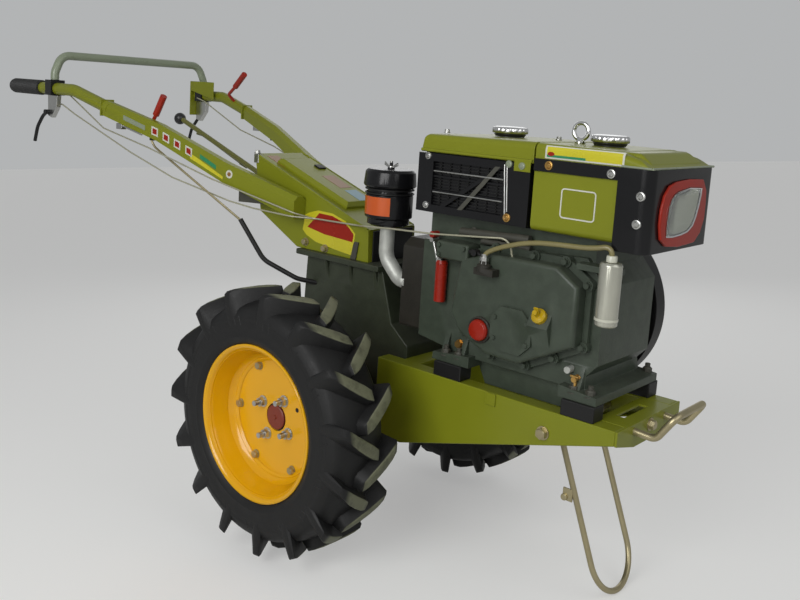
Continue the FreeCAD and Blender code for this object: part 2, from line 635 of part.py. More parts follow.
# Engine: crankcase with its feet and sump, head, rocker cover, gear cover and caps
foot_low = "frame_top + block_height"
crankcase = padded_body("crankcase", [
    ("XZ_Plane", [("barrel_back", "barrel_low"), ("crank_back", foot_low + " + foot_wall"),
                  ("crank_front - 22", foot_low + " + foot_wall"), ("crank_front - 22", "206"),
                  ("crank_front", "230"), ("crank_front", "crank_top - 50"),
                  ("crank_front - 42", "crank_top"), ("barrel_back", "crank_top - 22")], "2 * engine_half", "both"),
    ("XZ_Plane", [("barrel_back + 8", "crank_top - 30"), ("crank_front - 30", "crank_top - 30"),
                  ("crank_front - 30", "deck_top"), ("barrel_back + 8", "deck_top")],
     "2 * engine_half - 24", "both"),
    ("XZ_Plane", [("block_back - 10", foot_low), ("block_back + block_length + 14", foot_low),
                  ("block_back + block_length + 14", foot_low + " + foot_wall + 8"),
                  ("block_back - 10", foot_low + " + foot_wall")], "2 * frame_half - 12", "both"),
    ("XZ_Plane", [("block_front - 12", foot_low), ("crank_front + 16", foot_low),
                  ("crank_front + 16", foot_low + " + foot_wall"), ("block_front - 12", foot_low + " + foot_wall + 8")],
     "2 * frame_half - 12", "both"),
    ("XZ_Plane", [("crank_back + 40", "frame_top - 6"), ("block_front - 20", "frame_top - 6"),
                  ("block_front + 10", foot_low + " + foot_wall + 4"),
                  ("crank_back + 10", foot_low + " + foot_wall + 4")], "2 * engine_half - 50", "both"),
])
crank_socket = Part.makeCylinder(size("spindle") + size("fit_gap"), 100,
                                 Vector(size("crank_x"), size("engine_half") - 45, size("crank_z")), Y)
doc.recompute()
crank_boss = Part.makeCylinder(62, size("flywheel_start") - size("engine_half") - 8,
                               Vector(size("crank_x"), size("engine_half"), size("crank_z")), Y)
foot_top = size("frame_top") + size("block_height") + size("foot_wall")
foot_webs = []
for along in (size("block_back") + 8, size("block_back") + 56, size("block_front") + 8, size("crank_front") - 36):
    for sign in (-1, 1):
        web = flat([(sign * (size("engine_half") - 4), foot_top - 4), (sign * (size("frame_half") - 10), foot_top - 4),
                    (sign * (size("engine_half") - 4), foot_top + 58)], X * 12, "yz")
        web.translate(X * along)
        foot_webs.append(web)
bowl_arm = block((size("crank_front") - 50, -size("bowl_y") + 12, size("crank_top") - 19),
                 (size("bowl_x") + 6, 6 - size("engine_half"), size("crank_top") - 7))
bowl_room = Part.makeCylinder(size("bowl_radius"), 200, Vector(size("bowl_x"), -size("bowl_y"), size("bowl_low")))
crankcase_shape = crankcase.Shape.multiFuse([crank_boss, bowl_arm] + foot_webs).cut(crank_socket).cut(bowl_room)
crankcase_shape = crankcase_shape.removeSplitter()
shaped("engine_block", crankcase_shape)

head = padded_body("cylinder_head", [
    ("YZ_Plane", [("-head_half", "barrel_low + 6"), ("head_half", "barrel_low + 6"), ("head_half", "crank_top - 48"),
                  ("head_half - 24", "crank_top - 30"), ("24 - head_half", "crank_top - 30"),
                  ("-head_half", "crank_top - 48")], "barrel_back - head_back", "high"),
])
keep(rounded(head, "7", runs_along(X)), "cylinder_head", (size("head_back"), 0, 0))
doc.recompute()
rocker = padded_body("rocker_cover", [
    ("YZ_Plane", [("-rocker_half", "barrel_low + 24"), ("rocker_half", "barrel_low + 24"),
                  ("rocker_half", "crank_top - 58"), ("-rocker_half", "crank_top - 58")],
     "head_back - rocker_back", "high"),
])
keep(rounded(rocker, "16", runs_along(X)), "rocker_cover", (size("rocker_back"), 0, 0))

COVER = [("300", "272"), ("322", "402"), ("400", "428"), ("565", "428"), ("cover_front", "392"),
         ("cover_front", "258"), ("492", "192"), ("402", "194"), ("330", "228")]
COVER_INNER = [("314", "276"), ("334", "390"), ("404", "414"), ("559", "414"), ("cover_front - 12", "382"),
               ("cover_front - 12", "266"), ("488", "206"), ("408", "208"), ("342", "238")]
PAD = [("448", "226"), ("496", "226"), ("520", "250"), ("520", "292"), ("496", "316"), ("448", "316"),
       ("424", "292"), ("424", "250")]
cover = padded_body("cover_casting", [
    ("XZ_Plane", COVER, "cover_rim", "low"),
    ("XZ_Plane", COVER_INNER, "cover_wall", "low"),
    ("XZ_Plane", PAD, "cover_wall + 7", "low"),
])
rounded(cover, "9", lambda edge: edge.BoundBox.YLength < 0.01 and abs(edge.BoundBox.YMin + size("cover_wall")) < 0.01
        and edge.BoundBox.XLength + edge.BoundBox.ZLength > 40 and edge.BoundBox.Center.x not in (0,)
        and not (420 < edge.BoundBox.Center.x < 524 and 222 < edge.BoundBox.Center.z < 320))
doc.recompute()
EARS = [(309, 300), (326, 396), (400, 421), (492, 421), (562, 421), (613, 384), (613, 264), (553, 229), (490, 199),
        (406, 201), (336, 234)]
cover_face = -size("engine_half") - size("cover_wall")
cover_shape = cover.Shape.copy()
cover_shape.translate(Y * -size("engine_half"))
ears = [Part.makeCylinder(11, size("cover_rim") + 5, Vector(along, -size("engine_half"), height), -Y) for along, height in EARS]
filler_boss = flat([(cover_face + 8, 336), (cover_face + 7, 331), (cover_face - 15, 293), (cover_face + 1, 252),
                    (cover_face + 8, 252)], X * 46, "yz")
filler_boss.translate(X * 513)
cover_shape = cover_shape.multiFuse(ears + [filler_boss]).removeSplitter()
shaped("gear_cover", cover_shape)

CAP_ROUND = [("0", "0"), ("22", "0"), ("22", "8"), ("19", "13"), ("0", "14")]
keep(turned_body("start_cap", CAP_ROUND), "start_cap", (396, cover_face, 256), TO_RIGHT)
OIL_CAP = [("0", "0"), ("15", "0"), ("15", "9"), ("11", "12"), ("5", "12"), ("5", "26"), ("0", "26")]
oil_cap = turned_body("oil_filler", OIL_CAP)
doc.recompute()
oil_shape = oil_cap.Shape.copy()
oil_shape.Placement = Placement(Vector(536, cover_face - 4, 312), Rotation(X, 60))
shaped("oil_cap", oil_shape.cut(cover_shape))

# Cooling: radiator core, its top and the grilles on both sides
core = padded_body("radiator_core", [
    ("XZ_Plane", [("rad_back + 6", "deck_top"), ("rad_front - seam", "deck_top"),
                  ("rad_front - seam", "rad_neck"), ("rad_back + 6", "rad_neck")], "2 * core_half", "both"),
])
keep(core, "radiator_core")
top = padded_body("radiator_top", [
    ("XZ_Plane", [("rad_back", "rad_neck"), ("rad_front", "rad_neck"), ("rad_front", "rad_neck + rad_rise + 4"),
                  ("rad_back + 8", "rad_neck + rad_rise")], "2 * rad_half", "both"),
])
rounded(top, "14", lambda edge: edge.BoundBox.ZMin > size("rad_neck") + 2
        and edge.BoundBox.XMin < size("rad_front") - 2)
keep(top, "radiator_top")


def guard():
    """A cover plate with a window, crossed by two wires and a brace, as one piece."""
    wall, low, high = size("guard_wall"), size("deck_top") + 2, size("rad_neck") - 2
    back, front = size("rad_back") - 4, size("rad_front") - size("seam")
    plate = block((back, 0, low), (front, wall, high))
    margin = 0.13 * (high - low)
    window = block((back + 40, -1, low + margin), (front - 62, wall + 1, high - margin))
    solids = [plate.cut(window)]
    for share in (0.33, 0.66):
        height = low + margin + share * (high - low - 2 * margin)
        solids.append(block((back + 38, 3, height - 2), (front - 60, 7, height + 2)))
    brace = flat([(back + 60, low + margin - 2), (back + 74, low + margin - 2), (front - 66, high - margin + 2),
                  (front - 80, high - margin + 2)], Y * 2)
    brace.translate(Y * 1)
    net = block((back + 38, wall - 2, low + margin - 2), (front - 60, wall, high - margin + 2))
    return fused(*(solids + [brace, net]))


grille = guard()
grille.translate(Y * (-size("core_half") - size("guard_wall")))
shaped("radiator_guards", Part.makeCompound([grille, grille.mirror(Vector(), Y)]))

KNURLED = [("0", "0"), ("24", "0"), ("24", "6"), ("36", "7"), ("38", "9"), ("38", "17"), ("35", "20"), ("0", "21")]

# Fuel tank, lamp cowl and lamp
tank = padded_body("fuel_tank", [
    ("XZ_Plane", [("rad_front + seam", "deck_top"), ("tank_front", "deck_top"), ("tank_front", "tank_neck"),
                  ("rad_front + seam", "tank_neck")], "2 * tank_half", "both"),
    ("XZ_Plane", [("rad_front + seam", "tank_neck"), ("cowl_front - 6", "tank_neck"),
                  ("cowl_front - 34", "tank_neck + 16"), ("tank_front - 44", "tank_neck + tank_rise - 2"),
                  ("rad_front + seam", "tank_neck + tank_rise")], "2 * tank_half", "both"),
])
rounded(tank, "12", lambda edge: edge.BoundBox.YLength < 1 and (
    edge.BoundBox.ZMin > size("tank_neck") + 1 or (edge.BoundBox.ZMax < size("deck_top") + 1 and runs_along(X)(edge))))
keep(tank, "fuel_tank")
knurled = turned_body("filler_cap", KNURLED)
doc.recompute()
radiator_cap, tank_cap = knurled.Shape.copy(), knurled.Shape.copy()
radiator_cap.translate(Vector(330, 0, size("rad_neck") + size("rad_rise") + 3))
tank_cap.translate(Vector(566, 0, size("tank_neck") + size("tank_rise")))
shaped("filler_caps", Part.makeCompound([radiator_cap, tank_cap]))
eye = Part.makeCylinder(21, 10, Vector(0, -5, 24), Y)
eye = eye.makeChamfer(3, eye.Edges[0:1] + eye.Edges[2:3]).cut(Part.makeCylinder(11, 12, Vector(0, -6, 24), Y))
eye = eye.fuse(Part.makeCylinder(8, 10)).removeSplitter()
shaped("lifting_eye", eye, (500, 0, size("tank_neck") + size("tank_rise")))


def lamp_cowl():
    """A cowl over the tank's front, with a band along each side and a hole for the lamp."""
    half, low, high = size("cowl_half"), size("cowl_low"), size("tank_neck") - 0.5
    back, front = size("tank_front"), size("cowl_front")
    shell = block((back + 0.5, -half, low), (front, half, high))
    shell = shell.makeFillet(22, [edge for edge in shell.Edges
                                  if runs_along(Z)(edge) and edge.BoundBox.XMin > front - 1])
    hollow = block((back - 1, 10 - half, low + 8), (front - 10, half - 10, high - 8))
    middle = (low + high) / 2
    lens_half, lens_rise = size("lens_half"), size("lens_share") * (high - low) / 2
    window = block((front - 20, -lens_half, middle - lens_rise), (front + 20, lens_half, middle + lens_rise))
    solid = shell.cut(hollow).cut(window)
    for sign in (-1, 1):
        edge, inner = sorted((sign * half, sign * (size("tank_half") + 0.3)))
        solid = solid.fuse(block((size("rad_front") + size("seam"), edge, high - size("cowl_band")),
                                 (back + 12, inner, high)))
        solid = solid.fuse(block((back - 30, edge, low), (back + 12, inner, high)))
    return solid.removeSplitter()


shaped("lamp_cowl", lamp_cowl())
lamp_middle = (size("cowl_low") + size("tank_neck") - 0.5) / 2
cowl_height = size("tank_neck") - 0.5 - size("cowl_low")


def rounded_plate(half, height, depth):
    """A plate across the front with round corners, from the cowl's face forward."""
    plate = block((0, -half, -height / 2), (depth, half, height / 2))
    return plate.makeFillet(0.26 * height, [edge for edge in plate.Edges if runs_along(X)(edge)])


ring = rounded_plate(size("ring_half"), size("ring_share") * cowl_height, size("ring_wall"))
hole = rounded_plate(size("lens_half"), size("lens_share") * cowl_height, 60)
hole.translate(X * -30)
shaped("lamp_ring", ring.cut(hole), (size("cowl_front"), 0, lamp_middle))
lens = rounded_plate(size("lens_half") - 0.4, size("lens_share") * cowl_height - 0.8, size("ring_wall") + 5)
shaped("lamp_glass", lens, (size("cowl_front") - 10, 0, lamp_middle))

# Air filter, intake pipe, fuel filter and fuel hose
CAN = [("0", "0"), ("filter_radius - 14", "0"), ("filter_radius - 6", "4"), ("filter_radius - 6", "16"),
       ("filter_radius", "20"), ("filter_radius", "filter_high - filter_low - 18"),
       ("filter_radius - 4", "filter_high - filter_low - 15"), ("filter_radius - 4", "filter_high - filter_low - 4"),
       ("filter_radius", "filter_high - filter_low"), ("0", "filter_high - filter_low")]
LID = [("0", "0"), ("filter_cap - 3", "0"), ("filter_cap", "4"), ("filter_cap - 3", "cap_height - 6"),
       ("filter_cap - 9", "cap_height"), ("8", "cap_height"), ("8", "cap_height + 3"), ("4", "cap_height + 6"),
       ("4", "cap_height + 14"), ("0", "cap_height + 14")]
keep(turned_body("air_filter", CAN), "air_filter", (size("filter_x"), -size("filter_y"), size("filter_low")))
keep(turned_body("air_filter_cap", LID), "air_filter_cap", (size("filter_x"), -size("filter_y"), size("filter_high")))
intake_y = -size("filter_y")
shaped("intake_pipe", rod([
    (size("filter_x"), intake_y, size("filter_low")),
    (size("filter_x"), intake_y, size("filter_low") - 74),
    (size("head_back") - 18, intake_y + 4, 300),
    (size("head_back") + 8, intake_y + 4, 300),
], size("intake_radius"), 46).cut(head.Shape))
BOWL = [("0", "0"), ("bowl_radius - 3", "0"), ("bowl_radius", "3"), ("bowl_radius", "bowl_high - bowl_low - 4"),
        ("bowl_radius - 3", "bowl_high - bowl_low"), ("7", "bowl_high - bowl_low"), ("7", "bowl_high - bowl_low + 12"),
        ("0", "bowl_high - bowl_low + 12")]
keep(turned_body("fuel_filter", BOWL), "fuel_filter", (size("bowl_x"), -size("bowl_y"), size("bowl_low")))
hose_start = (402, cover_face - 12, 400)
hose_end = (size("bowl_x"), -size("bowl_y"), size("bowl_high") + 12)
shaped("fuel_hose", rod([
    hose_start, (hose_start[0], hose_start[1], 414), (440, -160, 434), (500, -157, 452), (560, -154, 457),
    (630, -149, 459),
    (hose_end[0], hose_end[1], hose_end[2] + 16), hose_end,
], size("hose_radius")))

PUMP = [("0", "0"), ("14", "0"), ("14", "14"), ("9", "16"), ("9", "22"), ("0", "22")]
pump_head = turned_body("pump_head", PUMP)
doc.recompute()
pump_shape = pump_head.Shape.copy()
pump_shape.translate(Vector(hose_start[0], hose_start[1], hose_start[2] - 22))
pump_arm = block((hose_start[0] - 16, hose_start[1] - 12, hose_start[2] - 28),
                 (hose_start[0] + 30, -size("engine_half") - size("cover_rim"), hose_start[2] - 14))
shaped("injection_pump", fused(pump_shape, pump_arm).cut(cover_shape).cut(crankcase_shape))

# Tool box on the gearbox, its lid, both arms and the handle rail
slope = math.atan2(size("box_high") - size("box_low"), size("box_front") - size("box_back"))


def tool_box():
    """A folded sheet box, open at its top, that stands on the gearbox flange."""
    half, wall = size("box_half"), size("box_wall")
    outside = [(size("box_back"), size("box_high")), (size("box_front"), size("box_low")),
               (size("box_front") + 4, size("case_top")), (size("case_back") - 36, size("case_top")),
               (size("box_back") + 30, size("box_low") - 4)]
    shell = flat(outside, Y * (2 * half))
    shell.translate(Y * -half)
    cavity = shell.makeOffsetShape(-wall, 0.01)
    mouth_half = size("lid_half") - 12
    along, up = Vector(math.cos(slope), 0, -math.sin(slope)), Vector(math.sin(slope), 0, math.cos(slope))
    start = Vector(size("box_back"), 0, size("box_high"))
    mouth = Part.makeBox(230, 2 * mouth_half, 60, start + along * 80 - up * 40 - Y * mouth_half, Z)
    mouth.rotate(start + along * 80 - up * 40, Y, math.degrees(slope))
    return shell.cut(cavity).cut(mouth).removeSplitter()


box_shape = tool_box()
shaped("tool_box", box_shape)


def tool_box_lid():
    """A pressed lid, hollow below, with its hinge barrel along the rear edge."""
    half, wall, length = size("lid_half"), size("lid_wall"), 270
    solid = block((0, -half, 0), (length, half, wall))
    solid = solid.makeChamfer(9, [edge for edge in solid.Edges if edge.BoundBox.ZMin > wall - 1])
    solid = solid.cut(block((4, 4 - half, -1), (length - 4, half - 4, wall - 9)))
    barrel = Part.makeCylinder(4.5, 2 * half - 30, Vector(-5, 15 - half, 5), Y)
    leaf = block((-5, 15 - half, 3), (4, half - 15, 7))
    return fused(solid, barrel, leaf)


lid_start = Vector(size("box_back"), 0, size("box_high")) + Vector(math.cos(slope), 0, -math.sin(slope)) * 60
shaped("tool_box_lid", tool_box_lid(), tuple(lid_start), Rotation(Y, math.degrees(slope)))
lid_axis = lid_start + Rotation(Y, math.degrees(slope)).multVec(Vector(-5, 0, 5))


def arm_spot(along, drop_share):
    """The middle and the top of a pressed arm at a place along it; drop_share is how far its top has come down."""
    share = (along - size("arm_seam")) / (size("arm_front") - size("arm_seam"))
    rear_middle, front_middle = size("grip_half") - 18, size("box_half") + 20
    rear_top, front_top = size("grip_height") - 21, 452
    return (rear_middle + (front_middle - rear_middle) * share, rear_top + (front_top - rear_top) * drop_share)


def pressed_arm(sign):
    """The pressed part of an arm: a ridge that widens towards the tool box."""
    # place along X, share of the drop, depth, width
    sections = [
        (size("arm_seam"), 0, 40, 36),
        (-640, 0.26, 44, 38),
        (-420, 0.675, 50, 40),
        (size("arm_front"), 1, size("arm_deep"), 40),
    ]
    wires = []
    for along, drop_share, depth, width in sections:
        middle, top = arm_spot(along, drop_share)
        half = width / 2
        corners = [(-half, -depth), (half, -depth), (half, -11), (half - 11, 0), (11 - half, 0), (-half, -11)]
        spots = [Vector(along, sign * middle + across, top + up) for across, up in corners]
        wires.append(Part.makePolygon(spots + spots[:1]))
    return Part.makeLoft(wires, True, True)


def arm(sign, rear_end):
    """A handle arm: a tube from its rear end to the seam, then the pressed part."""
    tube = rod([
        (rear_end, sign * size("grip_half"), size("grip_height")),
        (size("arm_bend"), sign * size("grip_half"), size("grip_height")),
        (size("arm_seam") + 12, sign * (size("grip_half") - 18), size("grip_height") - 43),
    ], size("arm_radius"), 90)
    return fused(tube, pressed_arm(sign))


tube_end = -1122
right_arm, left_arm = arm(-1, size("grip_end") + 6), arm(1, tube_end)
shaped("arm_right", right_arm)
shaped("arm_left", left_arm)
GRIP = [("0", "0"), ("grip_radius - 3", "0"), ("grip_radius", "4"), ("grip_radius", "grip_front - grip_end - 8"),
        ("grip_radius + 2", "grip_front - grip_end - 3"), ("grip_radius", "grip_front - grip_end"),
        ("arm_radius", "grip_front - grip_end"), ("arm_radius", "6"), ("0", "6")]
keep(turned_body("grip_right", GRIP), "grip_right", (size("grip_end"), -size("grip_half"), size("grip_height")), TO_FRONT)
guard_top = size("grip_height") + 46
side_plate = flat([(tube_end - 4, guard_top), (-1000, guard_top), (-1000, guard_top - 56),
                   (tube_end - 4, guard_top - 30)], Y * 3)
side_plate.translate(Y * (size("grip_half") - 30))
rear_plate = block((tube_end - 4, size("grip_half") - 30, guard_top - 112),
                   (tube_end, size("grip_half") + 34, guard_top))
shaped("hand_guard_left", fused(side_plate, rear_plate))

rail_x, tube_top = -1093, size("grip_height") + size("arm_radius")
shaped("handle_rail", rod([
    (rail_x, -size("grip_half"), tube_top + 8),
    (rail_x, -size("grip_half"), tube_top + 30),
    (rail_x - 2, 22 - size("grip_half"), size("grip_height") + size("rail_rise") - size("rail_radius")),
    (rail_x - 2, size("grip_half") - 22, size("grip_height") + size("rail_rise") - size("rail_radius")),
    (rail_x, size("grip_half"), tube_top + 30),
    (rail_x, size("grip_half"), tube_top + 8),
], size("rail_radius"), 40))


def on_both_grips(name, made):
    """A piece on each handle tube, below the handle rail's feet."""
    solids = []
    for side, sign, turn in SIDES:
        solid = made(sign)
        solid.translate(Vector(rail_x, sign * size("grip_half"), size("grip_height")))
        solids.append(solid)
    shaped(name, Part.makeCompound(solids))


def rail_clamp(sign):
    """A block round the handle tube that takes the rail's foot."""
    clamp = block((-17, -22, -19), (17, 22, 25))
    clamp = clamp.cut(Part.makeCylinder(size("arm_radius"), 60, X * -30, X))
    return clamp.cut(Part.makeCylinder(size("rail_radius"), 30, Z * (size("arm_radius") + 3), Z))


def lever_bracket(sign):
    """A cast ear under the clamp for the steering lever."""
    plate = flat([(-28, -19), (26, -19), (22, -53), (-6, -85), (-27, -79)], Y * 14)
    plate.translate(Y * -7)
    return plate


def steering_lever(sign):
    """A curved lever on its pin, beside the bracket."""
    lever = rod([(-22, 13 * sign, -69), (-44, 13 * sign, -81), (-76, 13 * sign, -115), (-92, 13 * sign, -159)], 5, 60)
    return fused(lever, Part.makeCylinder(7, 13, Vector(-22, 7 if sign > 0 else -20, -69), Y))


on_both_grips("rail_clamps", rail_clamp)
on_both_grips("lever_brackets", lever_bracket)
on_both_grips("steering_levers", steering_lever)

gear_stick = rod([(-842, 0, 603), (-480, 0, 478), (-400, 0, 372), (-262, 0, 308), (-214, 0, 286)], 7, 60)
stick_boot = Part.makeCylinder(20, 40, Vector(-214, 0, 286), Vector(0.8, 0, -0.6))
stick_boot = stick_boot.cut(gearbox_shape)
shaped("gear_lever", fused(gear_stick, stick_boot, Part.makeSphere(13, Vector(-850, 0, 606))))
clutch_seat = Vector((size("arm_bend") + size("arm_seam")) / 2 + 5, size("grip_half") - 16, size("grip_height") - 11)
clutch_knob = clutch_seat + Vector(43, -34, 48)
shaped("clutch_lever", fused(
    rod([tuple(clutch_seat), tuple(clutch_seat + Vector(0, -26, 22)), tuple(clutch_knob)], 5, 12),
    Part.makeCylinder(9, 72, clutch_knob, Vector(61, -14, 41))).cut(left_arm))
hand_middle, hand_top = arm_spot(-715, 0.16)
hand_seat = Vector(-715, -hand_middle + 12, hand_top - 32)
hand_knob = hand_seat + Vector(26, 16, 35)
shaped("hand_lever", fused(
    Part.makeCylinder(12, 22, hand_seat, Y), rod([tuple(hand_seat + Y * 16), tuple(hand_knob)], 5),
    Part.makeCylinder(9, 62, hand_knob, Vector(41, 0, 62))).cut(right_arm))
side_lever = rod([(-318, -192, 386), (-262, -160, 290), (-190, -112, 250), (-150, 10 - size("case_half"), 240)], 6, 60)
side_lever = side_lever.cut(gearbox_shape)
shaped("side_lever", side_lever)

# The rod that pulls the side lever, the control wires and the silencer
rod_middle, rod_top = arm_spot(-685, 0.2)
pull_rod = rod([(-685, -rod_middle, rod_top - 30), (-676, -rod_middle + 4, rod_top - 70), (-318, -192, 384)], 3, 60)
shaped("control_rods", pull_rod.cut(right_arm).cut(side_lever))


def control_wires():
    """A wire from each handle to the tool box, and the throttle wire from the right handle to the engine."""
    low, half, box_side = size("grip_height"), size("grip_half"), size("box_half")
    wires = []
    for sign in (-1, 1):
        wires.append(rod([
            (-1093, sign * (half - 24), low - 8), (-1050, sign * (half - 26), low - 18), (-865, sign * (half - 22), 571),
            (-676, sign * (half - 40), 533), (-444, sign * (box_side + 103), 472), (-254, sign * (box_side + 63), 430),
            (-188, sign * (box_side + 50), 415), (-168, sign * (box_side - 2), 400)], size("wire_radius"), 24))
    engine_side = size("engine_half")
    wires.append(rod([
        (-1076, -half + 7, low - 44), (-1076, -half + 14, low - 44), (-1010, -half + 16, 601), (-739, -half + 26, 516), (-576, -half + 50, 463),
        (-386, -box_side - 90, 422), (-314, -box_side - 73, 412), (-194, -box_side - 51, 406), (-150, -box_side - 12, 404),
        (-10, -box_side - 9, 407), (58, -147, 419), (149, -150, 426),
        (260, -151, 432), (400, -154, 446), (446, -engine_side - 40, 450),
        (452, -engine_side - 32, 408)], size("wire_radius"), 24))
    return wires


cutters = [cover_shape, box_shape]
wire_solids = []
for wire in control_wires():
    for cutter in cutters:
        wire = wire.cut(cutter)
    wire_solids.append(wire)
shaped("control_cables", Part.makeCompound(wire_solids))

SILENCER = [("0", "0"), ("14", "0"), ("silencer_radius - 4", "4"), ("silencer_radius", "10"), ("silencer_radius", "140"),
            ("silencer_radius - 4", "146"), ("14", "150"), ("0", "150")]
can = turned_body("silencer_can", SILENCER)
doc.recompute()
can_shape = can.Shape.copy()
can_shape.Placement = Placement(Vector(size("silencer_x") - 75, size("silencer_y"), size("silencer_z")), TO_FRONT)
port = Vector(size("barrel_back") - 32, size("head_half") - 6, size("silencer_z") - 52)
neck = rod([tuple(port), (port.x, size("silencer_y"), port.z), (port.x, size("silencer_y"), size("silencer_z") - 10)], 15, 26)
flange = Part.makeCylinder(24, 14, port, Y)
tail = rod([(size("silencer_x") - 70, size("silencer_y"), size("silencer_z")),
            (size("silencer_x") - 104, size("silencer_y"), size("silencer_z")),
            (size("silencer_x") - 118, size("silencer_y") + 10, size("silencer_z") - 40)], 10, 18)
shaped("silencer", fused(can_shape, neck, flange, tail).cut(head.Shape))


def hitch():
    """A drawbar bracket bolted to the rear of the gearbox, with a pin bore through both ears."""
    body = block((size("hitch_back") - 28, -42, -40), (-96, 42, 38)).cut(gearbox_shape)
    slot = block((size("hitch_back") - 60, -60, -22), (size("hitch_back") + 46, 60, 20))
    bore = Part.makeCylinder(size("hitch_bore"), 120, Vector(size("hitch_back"), 0, -60), Z)
    return body.cut(slot).cut(bore)


shaped("hitch", hitch())

# Parked stance: nose down about the axle, centred over the origin, with the lowest point on the floor
doc.recompute()
stance = Placement(Vector(), stance_turn)
for piece in pieces:
    piece.Placement = stance.multiply(piece.Placement)
doc.recompute()
boxes = [piece.Shape.optimalBoundingBox(False) for piece in pieces]
middle = [(min(getattr(box, low) for box in boxes) + max(getattr(box, high) for box in boxes)) / 2
          for low, high in (("XMin", "XMax"), ("YMin", "YMax"))]
shift = Placement(Vector(-middle[0], -middle[1], -min(box.ZMin for box in boxes)), Rotation())
for piece in pieces:
    piece.Placement = shift.multiply(piece.Placement)
doc.recompute()

for item in doc.Objects:
    if "Invalid" in item.State or "Error" in item.State:
        raise RuntimeError("%s failed: %s" % (item.Label, item.State))
for piece in pieces:
    if piece.Shape.isNull() or not piece.Shape.isValid():
        raise RuntimeError("%s has a bad shape" % piece.Label)
for piece in pieces:
    piece.Shape.exportStep("parts/%s.step" % piece.Label)
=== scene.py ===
"""The looks of a two-wheeled walking tractor: its pieces, finishes, stage and camera, round its fixed frame."""
import json
import math
import bmesh
import bpy
from bpy.props import FloatProperty, FloatVectorProperty, IntProperty, PointerProperty
from mathutils import Matrix, Vector


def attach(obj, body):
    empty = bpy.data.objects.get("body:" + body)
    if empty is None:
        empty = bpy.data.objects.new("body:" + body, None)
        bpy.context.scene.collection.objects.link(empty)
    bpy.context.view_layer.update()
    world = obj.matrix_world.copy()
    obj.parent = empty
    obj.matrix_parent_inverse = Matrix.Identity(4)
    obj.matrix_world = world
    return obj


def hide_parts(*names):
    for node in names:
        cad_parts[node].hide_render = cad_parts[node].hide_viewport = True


bl_info = {
    "name": "Walking Tractor",
    "version": (1, 0, 0),
    "blender": (4, 5, 0),
    "location": "3D View > Sidebar > Tractor",
    "description": "Models and paints a two-wheeled walking tractor round its fixed frame",
    "category": "Object",
}

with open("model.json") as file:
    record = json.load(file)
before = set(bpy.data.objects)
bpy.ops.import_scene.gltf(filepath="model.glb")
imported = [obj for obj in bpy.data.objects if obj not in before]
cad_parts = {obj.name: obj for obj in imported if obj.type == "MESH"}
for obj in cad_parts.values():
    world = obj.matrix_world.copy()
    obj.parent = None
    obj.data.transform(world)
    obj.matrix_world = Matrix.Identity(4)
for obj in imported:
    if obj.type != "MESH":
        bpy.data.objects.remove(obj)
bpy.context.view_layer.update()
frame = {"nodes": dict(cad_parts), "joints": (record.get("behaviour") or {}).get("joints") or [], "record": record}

# Level frame: millimetres, X forward, Y left, Z up from the middle of the wheel axle
MM = 0.001
JOINTS = {joint["name"]: Vector(joint["pos_m"]) for joint in frame["joints"]}
PIN_WAY = Vector(frame["record"]["mounts"][0]["axis"])
AXLE = (JOINTS["wheel_right_roll"] + JOINTS["wheel_left_roll"]) / 2
PITCH = math.atan2(-PIN_WAY.x, -PIN_WAY.z)
LEVEL = Matrix.Translation(AXLE) @ Matrix.Rotation(PITCH, 4, "Y") @ Matrix.Scale(MM, 4)
BODY_OF = {node: body for body, nodes in frame["record"]["behaviour"]["bodies"].items() for node in nodes}
X, Y, Z = Vector((1, 0, 0)), Vector((0, 1, 0)), Vector((0, 0, 1))
SIDES = (("right", -1), ("left", 1))
PAINTS = {}


def level_box(node):
    """Lowest and highest corner of a fixed node, in the level frame."""
    back = LEVEL.inverted()
    spots = [back @ vertex.co for vertex in frame["nodes"][node].data.vertices]
    return (Vector([min(spot[i] for spot in spots) for i in range(3)]),
            Vector([max(spot[i] for spot in spots) for i in range(3)]))


# Shader helpers


def add_node(tree, kind, **values):
    """A shader node with its properties and plain inputs set; inputs are given as in_Name."""
    node = tree.nodes.new(kind)
    for name, value in values.items():
        if name.startswith("in_"):
            node.inputs[name[3:].replace("_", " ")].default_value = value
        else:
            setattr(node, name, value)
    return node


def ramp_stops(node, stops):
    """Sets a colour ramp's stops from (place, grey or colour) pairs."""
    ramp = node.color_ramp
    while len(ramp.elements) < len(stops):
        ramp.elements.new(0.5)
    for element, (place, shade) in zip(ramp.elements, stops):
        element.position = place
        element.color = (*shade, 1) if isinstance(shade, tuple) else (shade, shade, shade, 1)
    return node


def new_group(name, inputs, outputs):
    """An empty node group with named inputs and outputs: (name, kind, default)."""
    group = bpy.data.node_groups.new(name, "ShaderNodeTree")
    for label, kind, value in inputs:
        socket = group.interface.new_socket(label, in_out="INPUT", socket_type="NodeSocket" + kind)
        if value is not None:
            socket.default_value = value
    for label, kind in outputs:
        group.interface.new_socket(label, in_out="OUTPUT", socket_type="NodeSocket" + kind)
    return group, group.nodes.new("NodeGroupInput"), group.nodes.new("NodeGroupOutput")


